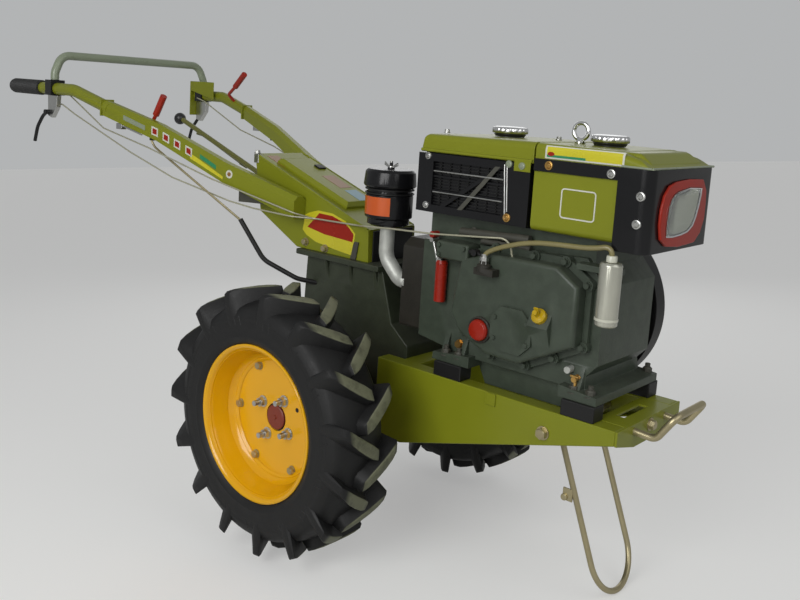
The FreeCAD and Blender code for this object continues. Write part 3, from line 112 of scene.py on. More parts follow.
def film_group():
    """Paint film: a faint mottle, orange peel, and dust that settles on what faces up."""
    group, start, end = new_group("Paint Film", [
        ("Color", "Color", (0.5, 0.5, 0.5, 1)), ("Mottle", "Float", 0.08), ("Dust", "Float", 0.15),
        ("Gloss", "Float", 0.3), ("Peel", "Float", 0.04), ("Grain", "Float", 60.0),
    ], [("Color", "Color"), ("Roughness", "Float"), ("Normal", "Vector")])
    link = group.links.new
    place = add_node(group, "ShaderNodeTexCoord")
    broad = add_node(group, "ShaderNodeTexNoise", in_Scale=7.0, in_Detail=5.0, in_Roughness=0.6)
    fine = add_node(group, "ShaderNodeTexNoise", in_Detail=4.0, in_Roughness=0.55)
    link(place.outputs["Object"], broad.inputs["Vector"])
    link(place.outputs["Object"], fine.inputs["Vector"])
    link(start.outputs["Grain"], fine.inputs["Scale"])
    spread = add_node(group, "ShaderNodeMapRange", in_From_Min=0.3, in_From_Max=0.7, in_To_Min=-0.5, in_To_Max=0.5)
    link(broad.outputs["Fac"], spread.inputs["Value"])
    amount = add_node(group, "ShaderNodeMath", operation="MULTIPLY")
    link(spread.outputs["Result"], amount.inputs[0])
    link(start.outputs["Mottle"], amount.inputs[1])
    bright = add_node(group, "ShaderNodeMath", operation="ADD", in_Value=1.0)
    bright.inputs[1].default_value = 1.0
    link(amount.outputs[0], bright.inputs[0])
    shade = add_node(group, "ShaderNodeVectorMath", operation="SCALE")
    link(start.outputs["Color"], shade.inputs[0])
    link(bright.outputs[0], shade.inputs["Scale"])
    split = add_node(group, "ShaderNodeSeparateXYZ")
    link(place.outputs["Normal"], split.inputs[0])
    upward = add_node(group, "ShaderNodeMapRange", in_From_Min=0.2, in_From_Max=1.0, in_To_Min=0.0, in_To_Max=1.0)
    link(split.outputs["Z"], upward.inputs["Value"])
    patchy = add_node(group, "ShaderNodeMapRange", in_From_Min=0.35, in_From_Max=0.7, in_To_Min=0.25, in_To_Max=1.0)
    link(fine.outputs["Fac"], patchy.inputs["Value"])
    settled = add_node(group, "ShaderNodeMath", operation="MULTIPLY")
    link(upward.outputs["Result"], settled.inputs[0])
    link(patchy.outputs["Result"], settled.inputs[1])
    dust = add_node(group, "ShaderNodeMath", operation="MULTIPLY", use_clamp=True)
    link(settled.outputs[0], dust.inputs[0])
    link(start.outputs["Dust"], dust.inputs[1])
    mixed = add_node(group, "ShaderNodeMix", data_type="RGBA")
    mixed.inputs["B"].default_value = (0.30, 0.28, 0.22, 1)
    link(dust.outputs[0], mixed.inputs["Factor"])
    link(shade.outputs[0], mixed.inputs["A"])
    link(mixed.outputs["Result"], end.inputs["Color"])
    rough = add_node(group, "ShaderNodeMath", operation="MULTIPLY_ADD")
    rough.inputs[1].default_value = 0.12
    link(broad.outputs["Fac"], rough.inputs[0])
    link(start.outputs["Gloss"], rough.inputs[2])
    dulled = add_node(group, "ShaderNodeMath", operation="MULTIPLY_ADD", use_clamp=True)
    dulled.inputs[1].default_value = 0.5
    link(dust.outputs[0], dulled.inputs[0])
    link(rough.outputs[0], dulled.inputs[2])
    link(dulled.outputs[0], end.inputs["Roughness"])
    bump = add_node(group, "ShaderNodeBump", in_Distance=0.002)
    link(fine.outputs["Fac"], bump.inputs["Height"])
    link(start.outputs["Peel"], bump.inputs["Strength"])
    link(bump.outputs["Normal"], end.inputs["Normal"])
    return group


def cast_group():
    """Sand casting under paint: pits and lumps at two scales, with painted shade darkening the hollows."""
    group, start, end = new_group("Sand Casting", [
        ("Color", "Color", (0.1, 0.1, 0.1, 1)), ("Depth", "Float", 0.5), ("Gloss", "Float", 0.4),
        ("Dust", "Float", 0.1),
    ], [("Color", "Color"), ("Roughness", "Float"), ("Normal", "Vector")])
    link = group.links.new
    place = add_node(group, "ShaderNodeTexCoord")
    lumps = add_node(group, "ShaderNodeTexNoise", in_Scale=38.0, in_Detail=3.0, in_Roughness=0.5)
    sand = add_node(group, "ShaderNodeTexNoise", in_Scale=420.0, in_Detail=3.0, in_Roughness=0.65)
    for texture in (lumps, sand):
        link(place.outputs["Object"], texture.inputs["Vector"])
    height = add_node(group, "ShaderNodeMath", operation="MULTIPLY_ADD")
    height.inputs[1].default_value = 0.35
    link(sand.outputs["Fac"], height.inputs[0])
    link(lumps.outputs["Fac"], height.inputs[2])
    bump = add_node(group, "ShaderNodeBump", in_Distance=0.0016)
    link(height.outputs[0], bump.inputs["Height"])
    link(start.outputs["Depth"], bump.inputs["Strength"])
    link(bump.outputs["Normal"], end.inputs["Normal"])
    # Painted shade: the colour darkens where the lumps are low, in the hollows of the bump
    bright = add_node(group, "ShaderNodeMapRange", in_From_Min=0.35, in_From_Max=0.65, in_To_Min=0.88, in_To_Max=1.12)
    link(lumps.outputs["Fac"], bright.inputs["Value"])
    shade = add_node(group, "ShaderNodeVectorMath", operation="SCALE")
    link(start.outputs["Color"], shade.inputs[0])
    link(bright.outputs["Result"], shade.inputs["Scale"])
    split = add_node(group, "ShaderNodeSeparateXYZ")
    link(place.outputs["Normal"], split.inputs[0])
    upward = add_node(group, "ShaderNodeMapRange", in_From_Min=0.3, in_From_Max=1.0, in_To_Min=0.0, in_To_Max=1.0)
    link(split.outputs["Z"], upward.inputs["Value"])
    dust = add_node(group, "ShaderNodeMath", operation="MULTIPLY", use_clamp=True)
    link(upward.outputs["Result"], dust.inputs[0])
    link(start.outputs["Dust"], dust.inputs[1])
    mixed = add_node(group, "ShaderNodeMix", data_type="RGBA")
    mixed.inputs["B"].default_value = (0.28, 0.26, 0.21, 1)
    link(dust.outputs[0], mixed.inputs["Factor"])
    link(shade.outputs[0], mixed.inputs["A"])
    link(mixed.outputs["Result"], end.inputs["Color"])
    rough = add_node(group, "ShaderNodeMath", operation="MULTIPLY_ADD", use_clamp=True)
    rough.inputs[1].default_value = 0.35
    link(sand.outputs["Fac"], rough.inputs[0])
    link(start.outputs["Gloss"], rough.inputs[2])
    link(rough.outputs[0], end.inputs["Roughness"])
    return group


def wheel_radius_group():
    """Distances from the wheel axle and from a tyre's middle, in metres, for patterns that turn with a wheel."""
    group, start, end = new_group("Axle Distance", [], [("Radius", "Float"), ("Across", "Float")])
    link = group.links.new
    place = add_node(group, "ShaderNodeTexCoord")
    centred = add_node(group, "ShaderNodeVectorMath", operation="SUBTRACT")
    centred.inputs[1].default_value = tuple(AXLE)
    link(place.outputs["Object"], centred.inputs[0])
    flat = add_node(group, "ShaderNodeVectorMath", operation="MULTIPLY")
    flat.inputs[1].default_value = (1, 0, 1)
    link(centred.outputs[0], flat.inputs[0])
    reach = add_node(group, "ShaderNodeVectorMath", operation="LENGTH")
    link(flat.outputs[0], reach.inputs[0])
    link(reach.outputs["Value"], end.inputs["Radius"])
    split = add_node(group, "ShaderNodeSeparateXYZ")
    link(centred.outputs[0], split.inputs[0])
    side = add_node(group, "ShaderNodeMath", operation="ABSOLUTE")
    link(split.outputs["Y"], side.inputs[0])
    across = add_node(group, "ShaderNodeMath", operation="SUBTRACT")
    across.inputs[1].default_value = (JOINTS["wheel_left_roll"] - AXLE).length
    link(side.outputs[0], across.inputs[0])
    link(across.outputs[0], end.inputs["Across"])
    return group


GROUPS = {"film": film_group(), "cast": cast_group(), "radius": wheel_radius_group()}


def new_finish(name):
    """An empty material with its node tree and shader, kept among the paints by name."""
    finish = bpy.data.materials.new(name)
    finish.use_nodes = True
    tree = finish.node_tree
    shader = tree.nodes["Principled BSDF"]
    PAINTS[name] = finish
    return tree, shader


def use_group(tree, shader, kind, **values):
    """Places a group in a material and feeds the shader from it."""
    node = tree.nodes.new("ShaderNodeGroup")
    node.node_tree = GROUPS[kind]
    for label, value in values.items():
        node.inputs[label].default_value = (*value, 1) if isinstance(value, tuple) else value
    for source, target in (("Color", "Base Color"), ("Roughness", "Roughness"), ("Normal", "Normal")):
        tree.links.new(node.outputs[source], shader.inputs[target])
    return node


def painted(name, color, gloss=0.22, dust=0.15, peel=0.05, mottle=0.08, coat=0.12, metallic=0.0, grain=60.0,
            shine=0.5):
    """A paint film; coat is its clear gloss and shine its mirror strength."""
    tree, shader = new_finish(name)
    use_group(tree, shader, "film", Color=color, Gloss=gloss, Dust=dust, Peel=peel, Mottle=mottle, Grain=grain)
    shader.inputs["Coat Weight"].default_value = coat
    shader.inputs["Coat Roughness"].default_value = 0.12
    shader.inputs["Metallic"].default_value = metallic
    shader.inputs["Specular IOR Level"].default_value = shine


def cast(name, color, depth=0.5, gloss=0.3, dust=0.1, metallic=0.0, coat=0.15):
    """A painted or bare sand casting."""
    tree, shader = new_finish(name)
    use_group(tree, shader, "cast", Color=color, Depth=depth, Gloss=gloss, Dust=dust)
    shader.inputs["Metallic"].default_value = metallic
    shader.inputs["Coat Weight"].default_value = coat
    shader.inputs["Coat Roughness"].default_value = 0.2
    shader.inputs["Specular IOR Level"].default_value = 0.35


def tyre_finish(color, worn):
    """Tyre rubber: grain, and pale scuffed faces where the lugs stand highest."""
    tree, shader = new_finish("tyre_rubber")
    shader.inputs["Specular IOR Level"].default_value = 0.3
    link = tree.links.new
    group = tree.nodes.new("ShaderNodeGroup")
    group.node_tree = GROUPS["radius"]
    place = add_node(tree, "ShaderNodeTexCoord")
    patches = add_node(tree, "ShaderNodeTexNoise", in_Scale=30.0, in_Detail=5.0, in_Roughness=0.65)
    grain = add_node(tree, "ShaderNodeTexNoise", in_Scale=260.0, in_Detail=3.0)
    link(place.outputs["Object"], patches.inputs["Vector"])
    link(place.outputs["Object"], grain.inputs["Vector"])
    high = add_node(tree, "ShaderNodeMapRange", in_From_Min=0.2885, in_From_Max=0.2905, in_To_Min=0.0, in_To_Max=1.0)
    link(group.outputs["Radius"], high.inputs["Value"])
    inner = add_node(tree, "ShaderNodeMapRange", in_From_Min=0.052, in_From_Max=0.066, in_To_Min=1.0, in_To_Max=0.0)
    link(group.outputs["Across"], inner.inputs["Value"])
    mask = add_node(tree, "ShaderNodeMapRange", in_From_Min=0.3, in_From_Max=0.5, in_To_Min=0.5, in_To_Max=1.0)
    link(patches.outputs["Fac"], mask.inputs["Value"])
    raised = add_node(tree, "ShaderNodeMath", operation="MULTIPLY")
    link(high.outputs["Result"], raised.inputs[0])
    link(inner.outputs["Result"], raised.inputs[1])
    scuff = add_node(tree, "ShaderNodeMath", operation="MULTIPLY", use_clamp=True)
    link(raised.outputs[0], scuff.inputs[0])
    link(mask.outputs["Result"], scuff.inputs[1])
    body = add_node(tree, "ShaderNodeMix", data_type="RGBA")
    body.inputs["A"].default_value = (*[0.8 * part for part in color], 1)
    body.inputs["B"].default_value = (*[1.7 * part for part in color], 1)
    link(patches.outputs["Fac"], body.inputs["Factor"])
    mixed = add_node(tree, "ShaderNodeMix", data_type="RGBA")
    mixed.inputs["B"].default_value = (*worn, 1)
    link(scuff.outputs[0], mixed.inputs["Factor"])
    link(body.outputs["Result"], mixed.inputs["A"])
    link(mixed.outputs["Result"], shader.inputs["Base Color"])
    dull = add_node(tree, "ShaderNodeMapRange", in_From_Min=0.3, in_From_Max=0.7, in_To_Min=0.42, in_To_Max=0.62)
    link(patches.outputs["Fac"], dull.inputs["Value"])
    link(dull.outputs["Result"], shader.inputs["Roughness"])
    rings = add_node(tree, "ShaderNodeMath", operation="MULTIPLY")
    rings.inputs[1].default_value = 900.0
    link(group.outputs["Radius"], rings.inputs[0])
    wave = add_node(tree, "ShaderNodeMath", operation="SINE")
    link(rings.outputs[0], wave.inputs[0])
    height = add_node(tree, "ShaderNodeMath", operation="MULTIPLY_ADD")
    height.inputs[1].default_value = 0.12
    link(wave.outputs[0], height.inputs[0])
    link(grain.outputs["Fac"], height.inputs[2])
    bump = add_node(tree, "ShaderNodeBump", in_Strength=0.25, in_Distance=0.0008)
    link(height.outputs[0], bump.inputs["Height"])
    link(bump.outputs["Normal"], shader.inputs["Normal"])


def glass_finish(name, color):
    """Clear lamp glass with a faint ribbed back."""
    tree, shader = new_finish(name)
    link = tree.links.new
    shader.inputs["Base Color"].default_value = (*color, 1)
    shader.inputs["Transmission Weight"].default_value = 0.9
    shader.inputs["Roughness"].default_value = 0.08
    shader.inputs["IOR"].default_value = 1.45
    place = add_node(tree, "ShaderNodeTexCoord")
    ribs = add_node(tree, "ShaderNodeTexWave", in_Scale=9.0, in_Distortion=0.0)
    ribs.bands_direction = "Y"
    link(place.outputs["Object"], ribs.inputs["Vector"])
    bump = add_node(tree, "ShaderNodeBump", in_Strength=0.12, in_Distance=0.001)
    link(ribs.outputs["Fac"], bump.inputs["Height"])
    link(bump.outputs["Normal"], shader.inputs["Normal"])


# Mesh helpers; every mesh is modelled in the level frame


def turn_to(way):
    """A rotation that takes Z to the given direction."""
    return Z.rotation_difference(Vector(way).normalized()).to_matrix().to_4x4()


def lathe(bm, profile, at, way, steps=48):
    """Spins a profile of (radius, height) corners about an axis through a point."""
    verts = [bm.verts.new((radius, 0, height)) for radius, height in profile]
    edges = [bm.edges.new(ends) for ends in zip(verts, verts[1:])]
    spun = bmesh.ops.spin(bm, geom=verts + edges, cent=(0, 0, 0), axis=Z, angle=2 * math.pi, steps=steps, use_merge=True)
    made = list({vert for face in bm.faces if not face.tag for vert in face.verts})
    bmesh.ops.remove_doubles(bm, verts=made, dist=0.001)
    made = list({vert for face in bm.faces if not face.tag for vert in face.verts})
    bmesh.ops.transform(bm, matrix=Matrix.Translation(at) @ turn_to(way), verts=made)
    for face in bm.faces:
        face.tag = True
    return spun


def brick(bm, low, high):
    """A box from its lowest to its highest corner."""
    low, high = Vector(low), Vector(high)
    middle, spans = (low + high) / 2, high - low
    matrix = Matrix.Translation(middle) @ Matrix.Diagonal((*spans, 1))
    made = bmesh.ops.create_cube(bm, size=1, matrix=matrix)["verts"]
    for face in {face for vert in made for face in vert.link_faces}:
        face.tag = True
    return made


def bar(bm, start, end, radius, sides=16, far_radius=None):
    """A round, hexagonal or tapered bar between two points."""
    start, end = Vector(start), Vector(end)
    way = end - start
    matrix = Matrix.Translation((start + end) / 2) @ turn_to(way)
    made = bmesh.ops.create_cone(bm, cap_ends=True, segments=sides, radius1=radius,
                                 radius2=radius if far_radius is None else far_radius, depth=way.length, matrix=matrix)
    for face in {face for vert in made["verts"] for face in vert.link_faces}:
        face.tag = True
    return made["verts"]


def plate(bm, corners, depth):
    """A flat outline of corners pushed along a vector."""
    face = bm.faces.new([bm.verts.new(corner) for corner in corners])
    pushed = bmesh.ops.extrude_face_region(bm, geom=[face])["geom"]
    moved = [item for item in pushed if isinstance(item, bmesh.types.BMVert)]
    bmesh.ops.translate(bm, vec=depth, verts=moved)
    made = set(moved) | set(face.verts)
    for each in {face for vert in made for face in vert.link_faces}:
        each.tag = True
    return list(made)


def bolt(bm, at, way, across=17, height=9, washer=12, stud=0):
    """A hexagon head with its chamfer, on a washer, with a stud that stands out of it if it is a nut."""
    at, way = Vector(at), Vector(way).normalized()
    if washer:
        bar(bm, at, at + way * 2, washer, 24)
        at = at + way * 2
    bar(bm, at, at + way * height * 0.85, across / math.sqrt(3), 6)
    bar(bm, at + way * height * 0.85, at + way * height, across / 2, 24, across / 2 * 0.9)
    if stud:
        bar(bm, at, at + way * (height + stud), across * 0.29, 12)
        for turn in range(int(stud / 2)):
            low = at + way * (height + 0.6 + 2 * turn)
            bar(bm, low, low + way * 1.1, across * 0.325, 12)


def loft(bm, rings):
    """Bridges closed rings of corners one to the next, caps the ends and returns the rings' corners."""
    loops = [[bm.verts.new(spot) for spot in ring] for ring in rings]
    edges = [[bm.edges.new((ring[i - 1], ring[i])) for i in range(len(ring))] for ring in loops]
    for near, far in zip(edges, edges[1:]):
        bmesh.ops.bridge_loops(bm, edges=near + far)
    bmesh.ops.edgeloop_fill(bm, edges=edges[0])
    bmesh.ops.edgeloop_fill(bm, edges=edges[-1])
    for ring in loops:
        for face in {face for vert in ring for face in vert.link_faces}:
            face.tag = True
    return loops


def finish(bm, name, body, slot, paint, replaced=(), sharp=34, soften=0.0, turned=True):
    """Puts a mesh made in the level frame in place, as a piece that rides on a body."""
    bmesh.ops.remove_doubles(bm, verts=bm.verts, dist=0.0005)
    if turned:
        bmesh.ops.recalc_face_normals(bm, faces=bm.faces)
    bm.transform(LEVEL)
    mesh = bpy.data.meshes.new(name)
    bm.to_mesh(mesh)
    bm.free()
    return place_mesh(mesh, name, body, paint, replaced, sharp, soften)


def place_mesh(mesh, name, body, paint, replaced=(), sharp=34, soften=0.0):
    """Makes an object of a mesh, shades it, softens its edges and lets it ride on a body."""
    mesh.polygons.foreach_set("use_smooth", [True] * len(mesh.polygons))
    mesh.set_sharp_from_angle(angle=math.radians(sharp))
    mesh.materials.append(PAINTS[paint])
    piece = bpy.data.objects.new(name, mesh)
    bpy.context.scene.collection.objects.link(piece)
    if soften:
        bevel = piece.modifiers.new("Soft edges", "BEVEL")
        bevel.width = soften * MM
        bevel.segments = 2
        bevel.limit_method = "ANGLE"
        bevel.angle_limit = math.radians(sharp)
        bevel.harden_normals = True
    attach(piece, body)
    if replaced:
        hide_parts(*replaced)
    return piece


def dressed(node, paint, soften=1.2, sharp=30):
    """A fixed node's own form with softened edges, in place of the node."""
    bm = bmesh.new()
    bm.from_mesh(frame["nodes"][node].data)
    bmesh.ops.remove_doubles(bm, verts=bm.verts, dist=0.00001)
    bmesh.ops.dissolve_limit(bm, angle_limit=math.radians(0.8), verts=bm.verts, edges=bm.edges)
    mesh = bpy.data.meshes.new(node)
    bm.to_mesh(mesh)
    bm.free()
    return place_mesh(mesh, node + "_form", BODY_OF[node], paint, (node,), sharp, soften)


def wire(name, spots, radius, body, paint, replaced=(), order=3):
    """A round wire, hose or rod on one smooth line through the level frame."""
    curve = bpy.data.curves.new(name, "CURVE")
    curve.dimensions = "3D"
    spline = curve.splines.new("NURBS")
    spline.points.add(len(spots) - 1)
    for point, spot in zip(spline.points, spots):
        point.co = (*(LEVEL @ Vector(spot)), 1)
    spline.order_u = order
    spline.use_endpoint_u = True
    spline.resolution_u = 8
    curve.bevel_depth = radius * MM
    curve.bevel_resolution = 4
    curve.use_fill_caps = True
    curve.materials.append(PAINTS[paint])
    piece = bpy.data.objects.new(name, curve)
    bpy.context.scene.collection.objects.link(piece)
    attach(piece, body)
    if replaced:
        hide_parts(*replaced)
    return piece


SLOT_FOR = {
    "engine_casting": "casting_green", "gearbox_casting": "casting_green", "dark_casting": "casting_green",
    "black_steel": "black_paint", "dusty_steel": "black_paint", "chrome": "bright_steel", "brass": "zinc",
    "filter_metal": "bright_steel", "lamp_bowl_painted_reflection": "bright_steel", "orange_label": "red_paint", "white_label": "cream_plastic",
    "lime_label": "yellow_plastic", "leaf_label": "green_paint", "brown_label": "rust_red",
    "blue_label": "cream_plastic", "pale_green": "green_paint", "pale_stick": "black_paint", "red_gloss": "red_paint",
}


def add(bm, name, paint, body="frame", replaced=(), sharp=34, soften=0.0):
    """A new piece on a body, with its paint."""
    return finish(bm, name, body, SLOT_FOR.get(paint, paint), paint, replaced, sharp, soften)


def bolts(name, paint, spots, way, across=17, height=9, washer=12, stud=0, body="frame"):
    """Equal bolts at several spots, as one piece."""
    bm = bmesh.new()
    for spot in spots:
        bolt(bm, spot, way, across, height, washer, stud)
    return add(bm, name, paint, body)


def cup_screws(name, paint, spots, way, radius=9):
    """Domed screws in cup washers."""
    bm = bmesh.new()
    for spot in spots:
        lathe(bm, [(0, 3.6), (3.2, 3.6), (4.6, 2.6), (5, 1.4), (radius - 2.6, 2.6), (radius - 0.8, 2.2), (radius, 0.6),
                   (radius, -1), (0, -1)], spot, way, 20)
    return add(bm, name, paint)


def star_ring(radius, depth, height, teeth=28):
    """A closed ring of corners with teeth."""
    corners = []
    for index in range(2 * teeth):
        reach = radius if index % 2 else radius - depth
        angle = math.pi * index / teeth
        corners.append((reach * math.cos(angle), reach * math.sin(angle), height))
    return corners


def mirrored(spots):
    """Spots and their mirror images on the other side."""
    return [(x, side * y, z) for side in (1, -1) for x, y, z in spots]


# Sizes and colours that a user would change


class TractorSizes(bpy.types.PropertyGroup):
    """Sizes of the fine parts, in millimetres"""
    lug_count: IntProperty(name="Lugs", description="Lugs on each side of a tyre", default=15, min=8, max=30)
    lug_sweep: FloatProperty(name="Lug Sweep", description="Angle that a lug covers round the tyre", default=13.5,
                             min=4, max=25)
    rim_bolts: IntProperty(name="Rim Bolts", description="Bolts that hold a wheel disc", default=6, min=3, max=12)
    stud_circle: FloatProperty(name="Stud Circle", description="Radius of the wheel studs' circle", default=50,
                               min=35, max=70)
    bolt_circle: FloatProperty(name="Bolt Circle", description="Radius of the disc bolts' circle", default=119,
                               min=90, max=125)
    core_tubes: IntProperty(name="Radiator Tubes", description="Tubes seen in a radiator window", default=15,
                            min=6, max=30)
    grip_rings: IntProperty(name="Grip Rings", description="Rings round a handle grip", default=24, min=4, max=40)


class TractorColors(bpy.types.PropertyGroup):
    """Paint colours"""
    green: FloatVectorProperty(name="Body Green", description="Yellow-green of frame, tank and tool box",
                               subtype="COLOR", default=(0.215, 0.235, 0.012), min=0, max=1)
    yellow: FloatVectorProperty(name="Wheel Yellow", description="Paint of the rims", subtype="COLOR",
                                default=(0.80, 0.41, 0.001), min=0, max=1)
    casting: FloatVectorProperty(name="Engine Green", description="Grey-green of the engine castings",
                                 subtype="COLOR", default=(0.046, 0.060, 0.042), min=0, max=1)
    gearbox: FloatVectorProperty(name="Gearbox Green", description="Dark green of the gearbox and hubs",
                                 subtype="COLOR", default=(0.036, 0.044, 0.026), min=0, max=1)
    black: FloatVectorProperty(name="Trim Black", description="Gloss black of cowl, guards and filter",
                               subtype="COLOR", default=(0.008, 0.008, 0.009), min=0, max=1)
    red: FloatVectorProperty(name="Lamp Red", description="Lamp ring, caps and levers", subtype="COLOR",
                             default=(0.36, 0.022, 0.010), min=0, max=1)
    rust: FloatVectorProperty(name="Pulley Red", description="Red-brown primer of pulleys and hub caps",
                              subtype="COLOR", default=(0.20, 0.030, 0.014), min=0, max=1)
    tyre: FloatVectorProperty(name="Tyre", description="Tyre rubber", subtype="COLOR",
                              default=(0.009, 0.009, 0.009), min=0, max=1)
    worn: FloatVectorProperty(name="Worn Lugs", description="Dusty faces of the lugs", subtype="COLOR",
                              default=(0.17, 0.175, 0.11), min=0, max=1)


class TRACTOR_OT_paints(bpy.types.Operator):
    """Makes the finishes"""
    bl_idname = "tractor.paints"
    bl_label = "Finishes"

    def execute(self, context):
        colors = context.scene.tractor_colors
        painted("green_paint", tuple(colors.green), gloss=0.27, dust=0.03, mottle=0.06, coat=0.05, shine=0.3)
        painted("pale_green", (0.26, 0.30, 0.21), gloss=0.22, dust=0.05)
        painted("wheel_yellow", tuple(colors.yellow), gloss=0.12, dust=0.02, mottle=0.04)
        cast("engine_casting", tuple(colors.casting), depth=0.35, gloss=0.28, dust=0.06)
        cast("gearbox_casting", tuple(colors.gearbox), depth=0.45, gloss=0.32, dust=0.1)
        cast("dark_casting", (0.020, 0.018, 0.013), depth=0.5, gloss=0.4, dust=0.06)
        painted("black_paint", tuple(colors.black), gloss=0.16, dust=0.0, mottle=0.2, coat=0.0, shine=0.35)
        painted("black_steel", (0.012, 0.012, 0.012), gloss=0.35, dust=0.04, mottle=0.2, peel=0.1, coat=0.0, shine=0.3)
        painted("dusty_steel", (0.055, 0.054, 0.042), gloss=0.45, dust=0.2, mottle=0.4, peel=0.1, coat=0.0)
        painted("black_rubber", (0.013, 0.013, 0.013), gloss=0.45, dust=0.03, peel=0.2, coat=0.0, grain=220.0)
        painted("black_plastic", (0.012, 0.012, 0.013), gloss=0.3, dust=0.03, peel=0.1, coat=0.05)
        painted("red_paint", tuple(colors.red), gloss=0.26, dust=0.0, coat=0.05, shine=0.3)
        painted("red_gloss", (0.32, 0.016, 0.006), gloss=0.22, dust=0.0, coat=0.05, shine=0.3)
        painted("rust_red", tuple(colors.rust), gloss=0.4, dust=0.05, peel=0.15, coat=0.1)
        painted("pale_wire", (0.42, 0.41, 0.30), gloss=0.3, dust=0.0, metallic=0.3, coat=0.0)
        painted("pale_stick", (0.15, 0.15, 0.03), gloss=0.3, dust=0.05)
        painted("zinc", (0.46, 0.40, 0.24), gloss=0.3, dust=0.05, mottle=0.35, coat=0.0, metallic=0.8, grain=90.0)
        painted("bright_steel", (0.55, 0.55, 0.53), gloss=0.22, dust=0.0, mottle=0.25, coat=0.0, metallic=1.0)
        painted("chrome", (0.8, 0.8, 0.8), gloss=0.04, dust=0.0, mottle=0.05, coat=0.0, metallic=1.0, peel=0.0)
        # Painted reflection: the reflector's dark olive tone stands for the surroundings the bowl mirrors through the
        # lens
        painted("lamp_bowl_painted_reflection", (0.30, 0.32, 0.22), gloss=0.1, dust=0.0, mottle=0.3, coat=0.0, metallic=1.0)
        painted("filter_metal", (0.52, 0.52, 0.44), gloss=0.2, dust=0.0, mottle=0.15, coat=0.2, metallic=0.6)
        cast("silver_casting", (0.50, 0.51, 0.47), depth=0.3, gloss=0.3, dust=0.0, metallic=0.35)
        painted("brass", (0.50, 0.30, 0.09), gloss=0.25, dust=0.0, mottle=0.3, coat=0.0, metallic=0.9)
        painted("tan_hose", (0.22, 0.19, 0.075), gloss=0.26, dust=0.0, mottle=0.12, coat=0.3)
        painted("cream_plastic", (0.60, 0.60, 0.50), gloss=0.25, dust=0.0, mottle=0.1, coat=0.3)
        painted("yellow_plastic", (0.50, 0.33, 0.004), gloss=0.2, dust=0.0)
        painted("orange_label", (0.62, 0.10, 0.010), gloss=0.25, dust=0.0, coat=0.4)
        painted("white_label", (0.66, 0.66, 0.58), gloss=0.25, dust=0.0, coat=0.3)
        painted("lime_label", (0.62, 0.56, 0.02), gloss=0.22, dust=0.0, coat=0.4)
        painted("leaf_label", (0.02, 0.24, 0.10), gloss=0.22, dust=0.0, coat=0.4)
        painted("brown_label", (0.26, 0.12, 0.03), gloss=0.3, dust=0.0)
        painted("blue_label", (0.16, 0.30, 0.36), gloss=0.3, dust=0.0)
        tyre_finish(tuple(colors.tyre), tuple(colors.worn))
        glass_finish("lamp_glass", (0.93, 0.95, 0.93))
        return {"FINISHED"}


# Stations along a lug: foot offset, foot radius, top offset, top radius, half foot, half top, share of the sweep
LUG_STATIONS = [
    (-22, 262, -19, 283, 12, 7, -0.06), (-16, 262, -15.5, 290, 18, 12, 0.0), (0, 262, 0, 291.5, 20, 14.5, 0.13),
    (22, 261, 22, 291.8, 20, 14.5, 0.34), (42, 257, 43, 291.8, 19.5, 14, 0.56), (56, 250, 59, 291.4, 19, 13, 0.75),
    (66, 240, 71, 289.5, 17.5, 11, 0.90), (71, 231, 76.4, 284, 16, 9, 0.97), (73, 222, 77.4, 262, 13.5, 7, 1.01),
    (74, 214, 77.2, 242, 11, 5.5, 1.04), (74.5, 206, 76.4, 224, 8, 4, 1.06),
]
CARCASS = [
    (169, 40), (169, 61), (172.2, 67), (180, 72.6), (184, 73.8), (187, 75.4), (190, 75.5), (192, 74.9), (206, 76),
    (220, 75.4), (226, 74.6), (228, 75.2), (230, 74.9), (236, 72.5), (244, 69.5), (250, 65.5), (256, 56), (261, 42),
    (265, 24), (267, 0),
]
RIM_DISH = [
    (171, 64.4), (172.6, 66.5), (172, 69.6), (169, 71), (165.5, 70), (162, 66), (158.5, 60), (155.5, 50),
    (152, 39), (148.5, 29), (144, 20), (138.5, 12), (132.5, 6.5), (126, 3.2), (122, 2.5), (31, 2.5),
]


def wheel_place(sign):
    """The middle of a wheel and the way out along its axle."""
    middle = Vector((0, sign * (JOINTS["wheel_left_roll"] - AXLE).length / MM, 0))
    return middle, Vector((0, sign, 0))


def add_lug(bm, sweep, side):
    """One lug, lofted from section to section over the tyre's shoulder, about the Z axis."""
    rings = []
    for foot_y, foot_r, top_y, top_r, half_foot, half_top, share in LUG_STATIONS:
        ring = []
        for radius, offset, half in ((foot_r, foot_y, -half_foot), (top_r, top_y, -half_top),
                                     (top_r, top_y, half_top), (foot_r, foot_y, half_foot)):
            angle = share * sweep * side + half / radius
            ring.append((radius * math.cos(angle), radius * math.sin(angle), offset))
        rings.append(ring)
    loops = loft(bm, rings)
    along = [edge for near, far in zip(loops, loops[1:]) for corner in (1, 2)
             for edge in near[corner].link_edges if edge.other_vert(near[corner]) is far[corner]]
    across = [edge for edge in loops[0][1].link_edges if edge.other_vert(loops[0][1]) is loops[0][2]]
    bmesh.ops.bevel(bm, geom=along + across, offset=2.0, segments=2, profile=0.5, affect="EDGES", material=-1,
                    clamp_overlap=True)


